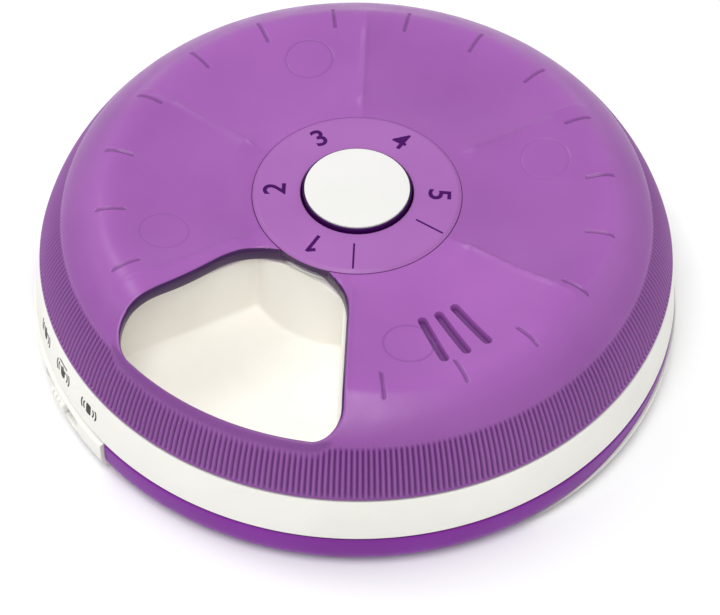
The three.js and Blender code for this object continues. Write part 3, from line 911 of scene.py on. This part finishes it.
def number_disc():
    bevel = DISC_EDGE - 0.5
    rim = [(DISC_EDGE, 23.6), (DISC_EDGE, 24.5), (DISC_EDGE, 24.74, 0.05), (bevel, disc_height(bevel), 0.4)]
    hole = [(DISC_HOLE, DISC_TOP, 0.15), (DISC_HOLE, 23.5), (8.75, 23.5)]
    boss = [(8.75, 19.2, 0.15), (10.7, 19.2, 0.15), (10.7, 23.6)]
    pilots = [pin(0.8, 18, 22.6, *hub_screw_at(i)) for i in range(3)]
    plate_mesh = cut(turned(rim + hole + boss, 6, 200), *pilots)
    set_painted_shade(plate_mesh, disc_painted_shade)
    piece("number_disc_plate", plate_mesh, "housing", disc_purple, ["number_disc"])


def disc_painted_shade(points, normals):
    """Painted shade on the disc's rim and bore walls, like the lid's."""
    radius = np.hypot(points[:, 0], points[:, 1])
    rim = (radius > DISC_EDGE - 0.02) & (points[:, 2] < 24.6)
    bore = (radius < DISC_HOLE + 0.02) & (points[:, 2] < DISC_TOP - 0.2)
    return np.where(rim | bore, 0.95, 0.0)


def on_disc(mesh, azimuth, radius):
    """Lays flat printing on the disc's slope; its own +Y points outward."""
    moved(mesh, 0, radius, 0)
    moved(mesh, turn=azimuth - 90)
    for vertex in mesh.vertices:
        x, y, z = vertex.co / MM
        vertex.co.z = (disc_height(math.hypot(x, y)) + (INK if z > 0 else -0.1)) * MM
    return mesh


def figure(text):
    """Flat figure, centred, with its foot towards -Y."""
    curve = bpy.data.curves.new("figure", "FONT")
    curve.body = text
    curve.size = NUMERAL_SIZE * MM
    curve.align_x = "CENTER"
    curve.align_y = "CENTER"
    curve.offset = 0.07 * MM
    curve.extrude = 0.1 * MM
    curve.resolution_u = 6
    holder = placed("figure", curve)
    mesh = evaluated(holder)
    bpy.data.objects.remove(holder)
    return weld(mesh)


def figure_one():
    """The figure 1 with a flag, which the built-in type lacks."""
    foot, head, half = -1.6, 1.6, 0.25
    flag = [(-0.15, head), (-1.05, 0.9), (-0.75, 0.5), (-half, 0.86)]
    outline = [(half, foot), (half, head), *flag, (-half, foot)]
    return slab(lambda grow: outline, -0.1, 0.1)


def weld(mesh):
    work = bmesh.new()
    work.from_mesh(mesh)
    bmesh.ops.remove_doubles(work, verts=work.verts, dist=2e-6)
    bmesh.ops.triangulate(work, faces=work.faces)
    bmesh.ops.recalc_face_normals(work, faces=work.faces)
    work.to_mesh(mesh)
    work.free()
    return mesh


def disc_printing():
    for i in range(5):
        middle = FIRST_WALL - SECTOR / 2 - SECTOR * i
        flat = figure(str(i + 1)) if i else figure_one()
        numeral = on_disc(flat, middle, NUMERAL_RADIUS)
        piece(f"numeral_{i + 1}", numeral, "housing", purple_ink, sharp=30)
    lines = []
    for azimuth in (FIRST_WALL, FIRST_WALL + SECTOR):
        bar = slab(plate(0.26, 4.4, 0.12), -0.1, 0.1)
        lines.append(on_disc(bar, azimuth, (9.6 + 14.0) / 2))
    piece("sector_lines", together(*lines), "housing", purple_ink, sharp=30)


def button():
    """Purple cup with a rim, the white cap set into it and the post below."""
    face, cup = BUTTON_TOP - 0.7, 7.62
    recess = [(0, face), (7.4, face), (7.4, BUTTON_TOP - 0.2, 0.06)]
    rim = [(cup, BUTTON_TOP - 0.22, 0.12), (cup, 23.2, 0.2)]
    flange = [(8.4, 23.2, 0.1), (8.4, 21.6), (6.6, 21.6), (6.6, 24.2), (0, 24.2)]
    body = turned(recess + rim + flange, 6, 128)
    piece("button_cup", body, "button", deep_purple, ["button_body"])
    edge = 7.35
    dome = [(r, BUTTON_TOP + 0.35 * (1 - (r / edge) ** 2)) for r in np.linspace(0, edge - 0.15, 16)]
    seat = face + 0.05
    side = rounded([dome[-1], (edge, BUTTON_TOP - 0.02, 0.1), (edge, seat), (0, seat)], 4)
    cap = lathe([(0, seat), *side[::-1][1:], *dome[::-1][1:]], 128)
    piece("button_cap", cap, "button", cap_white, ["button_inlay"])
    shaft = [(0, 12.4), (1.9, 12.4, 0.3), (1.9, 21.9), (2.6, 22.4), (2.6, 24.15), (0, 24.15)]
    stem = turned(shaft, steps=48)
    piece("button_post", stem, "button", cap_white, ["button_stem"])


def return_spring():
    """Coil spring with flat ends; it stands on the tray's web."""
    radius, wire, turns, steps = 4.4, 0.25, 4, 40
    foot, head, press = 18.95, 24.1, 0.9
    flat = 0.12  # share of the wire that lies flat at each end
    rings = []
    for i in range(turns * steps + 1):
        angle = 2 * math.pi * i / steps
        rise = np.clip((i / (turns * steps) - flat) / (1 - 2 * flat), 0, 1)
        z = foot + wire + (head - foot - 2 * wire) * rise
        ring = []
        for side in np.arange(10) * math.pi / 5:
            reach = radius + wire * math.cos(side)
            ring.append((reach * math.cos(angle), reach * math.sin(angle), z + wire * math.sin(side)))
        rings.append(ring)
    spring = piece("return_coil", loft(rings), "housing", steel, ["button_spring"])
    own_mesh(spring)


# Tray -------------------------------------------------------------------------------------------------

TRAY_OUTER = high("tray").x
TRAY_LOW = low("tray").z
DECK_Z = 21.45  # tops of the walls between the compartments
RIM_Z = 18.2  # top of the outer wall, under the lid's shoulder
FLOOR_ROUND = 0.7
MOUTH_ROUND = 0.3


def pocket_outline(outer, inner, shrink, lean=0.0, wide=30.0, wall=WALL / 2, corner_out=2.2, corner_in=0.8):
    """Compartment outline centred on +X: two straight walls, an arc at the rim and a bowed one at the hub."""
    outer, inner, wall = outer - shrink, inner + shrink, wall + shrink
    out_round, in_round = corner_out - shrink, corner_in - shrink
    half = []
    along, across = polar(1, wide), polar(1, wide - 90)
    d = wall + in_round
    centre = along * math.sqrt((inner + in_round) ** 2 - d ** 2) + across * d
    half += list(arc_between(centre, in_round, -unit(centre), -across, 6))
    d = wall + out_round
    centre = along * math.sqrt((outer - out_round) ** 2 - d ** 2) + across * d
    half += list(arc_between(centre, out_round, -across, unit(centre), 8))
    first, last = math.atan2(half[-1][1], half[-1][0]), math.atan2(half[0][1], half[0][0])
    rim = [(outer * math.cos(a), outer * math.sin(a)) for a in np.linspace(-first, first, 40)[1:-1]]
    drum = []
    for a in np.linspace(last, -last, 32)[1:-1]:
        drum.append(polar(inner - lean * (1 - (a / last) ** 2), math.degrees(a)))
    mirrored = [(x, -y) for x, y in half]
    return [*mirrored, *rim, *half[::-1], *drum]


def arc_between(centre, radius, start, end, count):
    """Points of the short arc round a centre from one direction to another."""
    first = math.atan2(start[1], start[0])
    turn = (math.atan2(end[1], end[0]) - first + math.pi) % (2 * math.pi) - math.pi
    for k in range(count + 1):
        angle = first + turn * k / count
        yield centre[0] + radius * math.cos(angle), centre[1] + radius * math.sin(angle)


def compartment():
    """Solid that cuts one compartment: a coved floor, walls that follow the lid and a rounded mouth."""
    rings = []
    for angle in np.radians([0, 22.5, 45, 67.5, 90]):
        shrink = FLOOR_ROUND * (1 - math.sin(angle))
        z = TRAY_FLOOR + FLOOR_ROUND * (1 - math.cos(angle))
        rings.append([(x, y, z) for x, y in pocket_outline(41.75, DRUM_RADIUS, shrink)])
    mouth = DECK_Z - MOUTH_ROUND
    for z, outer in ((13.9, 41.75), (RIM_Z, 39.7), (mouth, 39.7)):
        lean = DRUM_LEAN * (z - TRAY_FLOOR) / (mouth - TRAY_FLOOR)
        rings.append([(x, y, z) for x, y in pocket_outline(outer, DRUM_RADIUS, 0, lean)])
    for angle in np.radians([25, 50, 72]):
        grow = MOUTH_ROUND * (1 - math.cos(angle))
        z = mouth + MOUTH_ROUND * math.sin(angle)
        rings.append([(x, y, z) for x, y in pocket_outline(39.7, DRUM_RADIUS, -grow, DRUM_LEAN)])
    rings.append([(x, y, DECK_Z + 1) for x, y in pocket_outline(39.7, DRUM_RADIUS, -MOUTH_ROUND, DRUM_LEAN)])
    return loft(rings)


def tray():
    outside = [(TRAY_OUTER, TRAY_LOW, 0.4), (TRAY_OUTER, 14, 1.5), (40.75, RIM_Z, 0.3), (39.6, RIM_Z)]
    deck = [(38.5, 20.4, 0.8), (36, DECK_Z, 1.0), (14.1, DECK_Z, 0.1), (14.1, 21.3), (11.9, 21.3)]
    post = [(11.9, 23.2, 0.15), (11, 23.2, 0.15), (11, WEB_TOP), (2.5, WEB_TOP), (2.5, WEB_LOW)]
    under = [(13, WEB_LOW), (14.6, TRAY_LOW)]
    body = turned(outside + deck + post + under, 6, 240)
    pockets = [moved(compartment(), turn=FIRST_WALL - SECTOR / 2 - SECTOR * i) for i in range(5)]
    cover = pocket_outline(39.3, 15.9, -0.02, wall=0.9)
    lid_of_blank = loft([[(x, y, z) for x, y in cover] for z in (20.6, 24)])
    hollow_rings = [(9, 40.2, 17.4), (17.0, 39.0, 17.4), (19.4, 38.0, 17.4)]
    hollow = loft([[(x, y, z) for x, y in pocket_outline(o, i, 0, wall=1.6)] for z, o, i in hollow_rings])
    blanks = [moved(shape, turn=BLANK) for shape in (lid_of_blank, hollow)]
    holes = [pin(1, 17, 19.5, *hub_screw_at(i)) for i in range(3)]
    mesh = cut(body, *pockets, *blanks, *holes)
    piece("compartment_tray", mesh, "housing", tray_white, ["tray"], sharp=32)


def glide_washer():
    mesh = turned([(12.1, 21.5, 0.1), (13.8, 21.5, 0.1), (13.8, 22, 0.1), (12.1, 22, 0.1)], 3, 120)
    piece("washer", mesh, "housing", cap_white, ["glide_washer"])


# Housing ----------------------------------------------------------------------------------------------

LEFT_MIDDLE, LEFT_REACH = -157, 20  # the left panel's middle and how far its ends are from it, as azimuths
RIGHT_REACH = 56  # the right panel's ends are as far as this from +X
SWITCH = -151

def screw_at(i):
    return polar(SCREW_CIRCLE, 45 + 90 * i)


def ring_radius(z):
    return WAIST_RADIUS - 0.9 * (z - WAIST_Z) / (RING_TOP - WAIST_Z)


def housing_ring():
    outside = [(WAIST_RADIUS, WAIST_Z, 0.3), (ring_radius(RING_TOP), RING_TOP, 0.3)]
    inside = [(LID_INNER, RING_TOP, 0.2), (LID_INNER, 9.2, 0.3)]
    ledge = [(40.2, 9.2, 0.2), (40.2, 7.6, 0.2), (44, 7.4), (44, WAIST_Z)]
    lugs = [pin(3, 2.7, 9.1, *screw_at(i)) for i in range(4)]
    pilots = [pin(1.2, 2, 8.4, *screw_at(i)) for i in range(4)]
    mesh = cut(join(turned(outside + inside + ledge, steps=320), *lugs), *pilots)
    piece("white_ring", mesh, "housing", housing_white, ["housing_ring"])


def on_ring(outline, azimuth, z, thick=0.1):
    """Printing on the ring's slope, upside down: it is read with the organizer turned over."""
    rings = []
    for stand_off in (INK - thick, INK):
        ring = []
        for u, v in outline:
            radius = ring_radius(z - v) + stand_off
            spot = polar(radius, azimuth - math.degrees(u / WAIST_RADIUS))
            ring.append((*spot, z - v))
        rings.append(ring)
    return loft(rings)


def bell():
    """Bell pictogram about 2.3 mm tall, as separate outlines."""
    dome = [(0.62 * math.cos(a), 0.42 + 0.62 * math.sin(a)) for a in np.linspace(0, math.pi, 14)]
    body = [(0.98, -0.62), (0.66, -0.2), *dome, (-0.66, -0.2), (-0.98, -0.62)]
    clapper = [(0.3 * math.cos(a), -0.78 - 0.3 * math.sin(a)) for a in np.linspace(0, math.pi, 10)]
    return [body, clapper]


def waves(reach):
    """Sound waves on both sides, the nearer pair at reach."""
    near = [arc_band(reach, reach + 0.26, side, 34)() for side in (0, 180)]
    far = [arc_band(reach + 0.6, reach + 0.86, side, 30)() for side in (0, 180)]
    return near + far


def mode_marks():
    """Three pictograms over the mode switch: sound, sound with vibration, vibration."""
    sound = bell() + waves(1.35)
    line = plate(2.6, 0.26, 0.12, 0.0, -1.55)()
    handset = plate(1.1, 1.9, 0.3)()
    legends = ((-9.5, sound), (0, [*sound, line]), (9.5, [handset, *waves(1.1)]))
    marks = [on_ring(outline, SWITCH + side, 10.1) for side, legend in legends for outline in legend]
    piece("mode_marks", together(*marks), "housing", black_ink, sharp=30)


def lower_edge(proud, lowest, steps=14):
    """Rounded lower edge shared by the base and its side panels, grown outward by proud."""
    turn = 3.6
    centre = WAIST_RADIUS - turn
    angles = np.linspace(0, math.pi / 2, steps)
    edge = [(centre + (turn + proud) * math.cos(a), turn - (turn + proud) * math.sin(a)) for a in angles]
    return [point for point in edge if point[1] >= lowest]


def above_right_edge(lift):
    """Everything above the slanted upper edge of the right panel; lift moves the edge up."""
    tilt = Matrix.Rotation(-math.atan(0.165), 4, "Y")
    return moved(slab(plate(200, 200, 1), 0, 40), WAIST_RADIUS, 0, 4.7 + lift, matrix=tilt)


def sideways(outline, *levels):
    """Solid along +X whose outline lies in Y and Z; each level is (x, growth)."""
    return loft([[(x, u, v) for u, v in outline(growth)] for x, growth in levels])


def side_panels():
    """White panels on the base: the left one holds the switch, the right one has a slanted upper edge."""
    inner = [(BASE_INNER, 1.2), (BASE_INNER, BASE_TOP)]
    face = [*lower_edge(0.5, 1), *inner, (WAIST_RADIUS + 0.5, BASE_TOP, 0.3)]
    sector = slab(arc_band(42, 48, LEFT_MIDDLE, LEFT_REACH, steps=40), 0, 8)
    slot = sideways(plate(11.2, 2.4, 0.7, 0, SWITCH_Z), (42, 0), (46, 0), (46.6, 0.35), (47, 0.35))
    left = cut(combined("INTERSECT", turned(face, 4, 320), sector), moved(slot, turn=SWITCH))
    piece("switch_panel", left, "housing", housing_white, ["left_panel"])
    face = [*lower_edge(0.3, 1), (44.3, 1.2), (44.3, 5.4), (WAIST_RADIUS + 0.3, 5.4)]
    sector = slab(arc_band(42, 48, 0, RIGHT_REACH, steps=80), 0, 8)
    right = cut(combined("INTERSECT", lathe(face, 320), sector), above_right_edge(0))
    piece("side_panel", right, "housing", housing_white, ["right_panel"])


def panel_seats():
    left = slab(arc_band(43.5, 60, LEFT_MIDDLE, LEFT_REACH + 0.4, steps=40), 0.8, 8)
    right = slab(arc_band(43.5, 60, 0, RIGHT_REACH + 1, steps=80), 0.8, 8)
    return [left, cut(right, above_right_edge(0.3))]


def mouth(outline, face, depth, chamfer=0.25):
    """Hole through the underside whose edge at the face is chamfered."""
    return stacked(outline, (face - 1.5, chamfer), (face, chamfer), (face + chamfer, 0), (depth, 0))


def key_x(i):
    return -18 + 12 * i


def underside_holes():
    window = mouth(plate(30.6, 12.6, 1.6, 0, DISPLAY_Y), FACE_Z, 3, 0.4)
    keys = [mouth(disc(3.1, key_x(i), KEY_Y), FACE_Z, 3) for i in range(4)]
    sound = [mouth(disc(0.7, *(polar(3, 60 * i) + BUZZER), steps=24), FACE_Z, 3, 0.2) for i in range(6)]
    heads = [mouth(disc(2.4, *screw_at(i)), 0, 1.4) for i in range(4)]
    shanks = [pin(1.4, 0, 3, *screw_at(i)) for i in range(4)]
    door = mouth(disc(DOOR_RADIUS + 0.3, 0, CELL_Y, 120), FACE_Z, 3)
    notches = [slab(arc_band(12, 15.4, 60 + 180 * i, 16, 0, CELL_Y), 0, 3) for i in range(2)]
    return [window, *keys, *sound, *heads, *shanks, door, *notches]


def base_shell():
    foot = [(0, FACE_Z), (36, FACE_Z, 0.25), (36.6, 0, 0.25), *lower_edge(0, 0, 16)[::-1]]
    brim = [(WAIST_RADIUS, BASE_TOP, 0.25), (BASE_INNER, BASE_TOP)]
    inside = [(43.7, 3.6, 0.6), (42.2, BASE_FLOOR), (0, BASE_FLOOR)]
    mesh = cut(turned(foot + brim + inside, 4, 320), *underside_holes(), *panel_seats())
    piece("base_cover", mesh, "housing", base_purple, ["base_shell"], sharp=30)


def battery_door():
    """Round door with a coin slot, an engraved ring and arrow, and two lugs that lock it."""
    shape = stacked(disc(DOOR_RADIUS, 0, 0, 120), (FACE_Z, -0.25), (FACE_Z + 0.25, 0), (2.3, 0))
    lip = pin(13.2, 2.2, 2.6, steps=120)
    lugs = [slab(arc_band(12.5, 15, 180 * i, 13), 2.5, 2.9) for i in range(2)]
    slot = mouth(plate(11, 1.8, 0.88), FACE_Z, 1.9, 0.2)
    ring = cut(pin(12.2, 0.5, 1.25, steps=120), pin(11.7, 0.2, 2, steps=120))
    arrow = slab(lambda grow: [(-0.9, 9.2), (0.9, 9.2), (0, 10.9)], 0.5, 1.25)
    mesh = cut(join(shape, lip, *lugs), slot, ring, arrow)
    piece("cell_door", moved(mesh, 0, CELL_Y), "door", base_purple, ["battery_door"], sharp=30)


def mode_slider():
    """Ribbed knob on an arm that reaches in to the slide switch."""
    arm = sideways(plate(2.4, 1.6, 0.2, 0, SWITCH_Z), (40.4, 0), (44, 0))
    knob = sideways(plate(4, 1.8, 0.35, 0, SWITCH_Z), (43.7, 0), (46.65, 0), (46.9, -0.25))
    levels = (46.55, -0.05), (47.5, 0.2)
    grooves = [sideways(plate(0.32, 4, 0.1, 1.0 * i, SWITCH_Z), *levels) for i in (-1, 0, 1)]
    mesh = moved(cut(join(arm, knob), *grooves), turn=SWITCH)
    piece("slider_knob", mesh, "slider", housing_white, ["mode_slider"], sharp=30)


def screw(head_radius, head_z, head_top, shank_radius, tip):
    """Pan-head screw pointing up: cross recess in the head and ridged thread."""
    head = [(0, head_z), (head_radius, head_z, 0.35), (head_radius, head_top), (shank_radius, head_top)]
    thread = []
    z = head_top + 0.2
    while z < tip - 0.9:
        thread += [(shank_radius * 0.82, z), (shank_radius, z + 0.2)]
        z += 0.4
    body = turned([*head, *thread, (shank_radius * 0.7, tip - 0.5), (0, tip)], steps=40)
    reach = head_radius * 1.2
    levels = (head_z - 0.5, 0), (head_z + 0.45, 0), (head_z + 0.7, -0.12)
    cross = [stacked(plate(*size, 0.1), *levels) for size in ((reach, 0.4), (0.4, reach))]
    return cut(body, join(*cross))


def screws():
    for i in range(4):
        mesh = moved(screw(2.1, 0.15, 1.35, 1.1, 8.0), *screw_at(i), turn=35 * i)
        piece(f"case_screw_{i + 1}", mesh, "housing", steel, [f"base_screw_{i + 1}"], sharp=25)
    for i in range(3):
        mesh = moved(screw(1.5, 16.3, 17.4, 0.75, 22.0), *hub_screw_at(i))
        piece(f"hub_screw_{i + 1}", mesh, "housing", steel, [f"disc_screw_{i + 1}"], sharp=25)


# Alarm ------------------------------------------------------------------------------------------------


def keys():
    """Four rubber keys on the underside, each with a raised sign: minus, plus, ring and dot."""
    bar = [plate(2.0, 0.42, 0.1)]
    signs = [bar, bar, [disc(1.15, steps=40)], [disc(0.5, steps=24)]]
    face = [(0, 0.5), (2.35, 0.52, 0.3), (2.8, 1.0, 0.3), (2.8, 2.6)]
    skirt = [(3.6, 2.6, 0.1), (3.6, 3.4, 0.1), (1.2, 3.4)]
    for i in range(4):
        spot = key_x(i), KEY_Y
        mesh = moved(turned([*face, *skirt, (1.2, 4), (0, 4)], steps=64), *spot)
        piece(f"key_cap_{i + 1}", mesh, f"key_{i + 1}", rubber, [f"set_key_{i + 1}"])
        parts = [slab(sign, 0.45, 0.6) for sign in signs[i]]
        if i == 1:
            parts = [join(*parts, slab(plate(0.42, 2.0, 0.1), 0.45, 0.6))]
        if i == 2:
            parts = [cut(*parts, slab(disc(0.75, steps=40), 0, 2))]
        sign = moved(together(*parts), *spot)
        piece(f"key_sign_{i + 1}", sign, f"key_{i + 1}", cap_white, sharp=30)


SEGMENTS = {"0": "abcdef", "1": "bc", "2": "abged", "3": "abgcd"}
FIGURES_Z = 2.62, 2.69  # the display's dark figures


def display_digit(text, x, y, height):
    """Seven-segment figure, mirrored because it is read from below."""
    half, w, gap = height / 2, height * 0.26, 0.12
    bars = {"a": (0, half), "g": (0, 0), "d": (0, -half)}
    bars |= {"b": (w, half / 2), "c": (w, -half / 2), "e": (-w, -half / 2), "f": (-w, half / 2)}
    solids = []
    for name in SEGMENTS[text]:
        u, v = bars[name]
        run = (w if name in "agd" else half / 2) - gap
        t = height * 0.055
        outline = [(-run, 0), (-run + t, -t), (run - t, -t), (run, 0), (run - t, t), (-run + t, t)]
        if name not in "agd":
            outline = [(-b, a) for a, b in outline]
        solids.append(loft([[(x - u - a, y + v + b, z) for a, b in outline] for z in FIGURES_Z]))
    return solids


def display():
    top, bottom = low("display_glass").z, high("display_glass").z
    panel = stacked(plate(34, 16, 0.4, 0, DISPLAY_Y), (top, -0.1), (top + 0.1, 0), (bottom, 0))
    piece("display_panel", panel, "housing", display_glass, ["display_glass"], sharp=30)
    digits = []
    for text, x in (("1", 9.6), ("2", 4.2), ("3", -3.4), ("0", -8.8)):
        digits += display_digit(text, x, DISPLAY_Y, 7.2)
    digits += [slab(plate(0.8, 0.8, 0.1, 0.3, DISPLAY_Y + s), *FIGURES_Z) for s in (-1.5, 1.5)]
    piece("display_digits", together(*digits), "housing", black_ink, sharp=30)
    face, back = low("display_window").z, high("display_window").z
    window = stacked(plate(30, 12, 1.3, 0, DISPLAY_Y), (face, -0.25), (face + 0.2, 0), (back, 0))
    piece("clear_window", window, "housing", window_clear, ["display_window"], sharp=30)


def cell_and_buzzer():
    radius = high("coin_cell").x
    can = [(0, 3), (11.6, 3, 0.1), (radius, 3.35, 0.3), (radius, 7.2, 0.3)]
    cap = [(11.5, 7.4, 0.1), (11.2, 7.4), (11.2, 8, 0.2), (0, 8)]
    cell = moved(turned(can + cap, steps=120), 0, CELL_Y)
    piece("cell", cell, "housing", steel, ["coin_cell"])
    can = [(0, 2.6), (5.2, 2.6), (5.5, 3.0, 0.2), (6.6, 3.0), (7.5, 2.8, 0.2), (7.5, 5.3, 0.3), (0, 5.3)]
    buzzer = moved(turned(can, 4, 80), *BUZZER)
    piece("buzzer_disc", buzzer, "housing", brass, ["buzzer"])


def motor():
    """Vibration motor lying in the blank sector, built along +Z and laid down along +X."""
    lay = Matrix.Rotation(math.radians(90), 4, "Y")
    can = [(0, 20), (2.6, 20, 0.3), (3, 20.4, 0.3), (3, 31, 0.4), (1.2, 31), (1.2, 31.3), (0, 31.3)]
    body = moved(turned(can, steps=64), 0, 0, MOTOR_Z, matrix=lay)
    piece("motor_body", moved(body, turn=BLANK), "housing", steel, ["motor_can"])
    weight = [(0, 32), (2.8, 32, 0.2), (2.8, 35.4, 0.2), (0, 35.4)]
    half = moved(turned(weight, 4, 48), 0, 0, MOTOR_Z, matrix=lay)
    upper = moved(slab(plate(6, 8, 0.5), MOTOR_Z + 0.6, MOTOR_Z + 6), 33.7)
    axle = moved(pin(0.5, 31.4, 35.6, steps=24), 0, 0, MOTOR_Z, matrix=lay)
    mesh = moved(join(cut(half, upper), axle), turn=BLANK)
    piece("swing_weight", mesh, "rotor", brass, ["motor_weight"], sharp=30)


DRESSED = {
    "slide_switch": steel, "motor_bracket": steel, "circuit_board": board,
    "controller_chip": dark_plastic, "tact_switch": dark_plastic, "contact_strip_1": rubber,
    "contact_strip_2": rubber, "key_mat": rubber, "top_contact": brass, "side_contact": brass,
    "motor_lead_1": lead_red, "motor_lead_2": lead_black,
}

number_disc()
disc_printing()
button()
return_spring()
tray()
glide_washer()
housing_ring()
mode_marks()
side_panels()
base_shell()
battery_door()
mode_slider()
screws()
keys()
display()
cell_and_buzzer()
motor()
for node, material in DRESSED.items():
    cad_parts[node].material_slots[0].material = material

# Floor, light and camera ------------------------------------------------------------------------------


def floor():
    """Pale table top with a faintly uneven matt finish."""
    shader = Shader("floor", Roughness=0.75)
    drift = shader.spread(shader.noise(90.0), 0.0, 1.0)
    shader.colour(shader.mix(drift, linear("#f7f7f7"), linear("#f3f3f4")))
    mesh = bpy.data.meshes.new("floor")
    reach = 3.0
    corners = [(-reach, -reach, 0), (reach, -reach, 0), (reach, reach, 0), (-reach, reach, 0)]
    mesh.from_pydata(corners, [], [(0, 1, 2, 3)])
    mesh.materials.append(shader.material)
    placed("floor", mesh)


LIGHT_DISTANCE = 0.9
LIT_POINT = Vector((0, 0, 0.012))


def seen_from(distance, azimuth, elevation):
    """Place at a distance in metres, an azimuth and an elevation."""
    flat = distance * math.cos(math.radians(elevation))
    return Vector((*polar(flat, azimuth), distance * math.sin(math.radians(elevation))))


def soft_light(name, azimuth, elevation, size, power):
    light = bpy.data.lights.new(name, "AREA")
    light.shape = "DISK"
    light.size = size
    light.energy = power
    holder = placed(name, light)
    holder.location = seen_from(LIGHT_DISTANCE, azimuth, elevation)
    holder.rotation_euler = (LIT_POINT - holder.location).to_track_quat("-Z", "Y").to_euler()


def lights():
    soft_light("key", azimuth=-105, elevation=68, size=0.5, power=3.7)
    soft_light("back", azimuth=150, elevation=50, size=0.4, power=1.5)
    soft_light("side", azimuth=20, elevation=40, size=0.5, power=0.3)
    world = bpy.data.worlds.new("studio")
    world.use_nodes = True
    world.node_tree.nodes["Background"].inputs["Color"].default_value = (1, 1, 1, 1)
    world.node_tree.nodes["Background"].inputs["Strength"].default_value = 0.72
    bpy.context.scene.world = world
    bpy.context.scene.view_settings.view_transform = "Standard"


CAMERA_DISTANCE = 0.4
CAMERA_AZIMUTH, CAMERA_ELEVATION, CAMERA_ROLL = -88.2, 49.1, 0.77
AIM = Vector((0, 0, 0.014))
LENS, SENSOR = 140.56, 36.0
AIM_ON_SENSOR = (-0.18, 3.163)  # where the aim point lies on the sensor, in mm from its middle


def camera():
    data = bpy.data.cameras.new("camera")
    data.lens = LENS
    data.sensor_width = SENSOR
    holder = placed("camera", data)
    holder.location = AIM + seen_from(CAMERA_DISTANCE, CAMERA_AZIMUTH, CAMERA_ELEVATION)
    look = (AIM - holder.location).to_track_quat("-Z", "Y")
    roll = Quaternion((0, 0, 1), math.radians(CAMERA_ROLL))
    offset = Vector((*AIM_ON_SENSOR, -LENS)).rotation_difference(Vector((0, 0, -1)))
    holder.rotation_mode = "QUATERNION"
    holder.rotation_quaternion = look @ roll @ offset
    bpy.context.scene.camera = holder


floor()
lights()
camera()
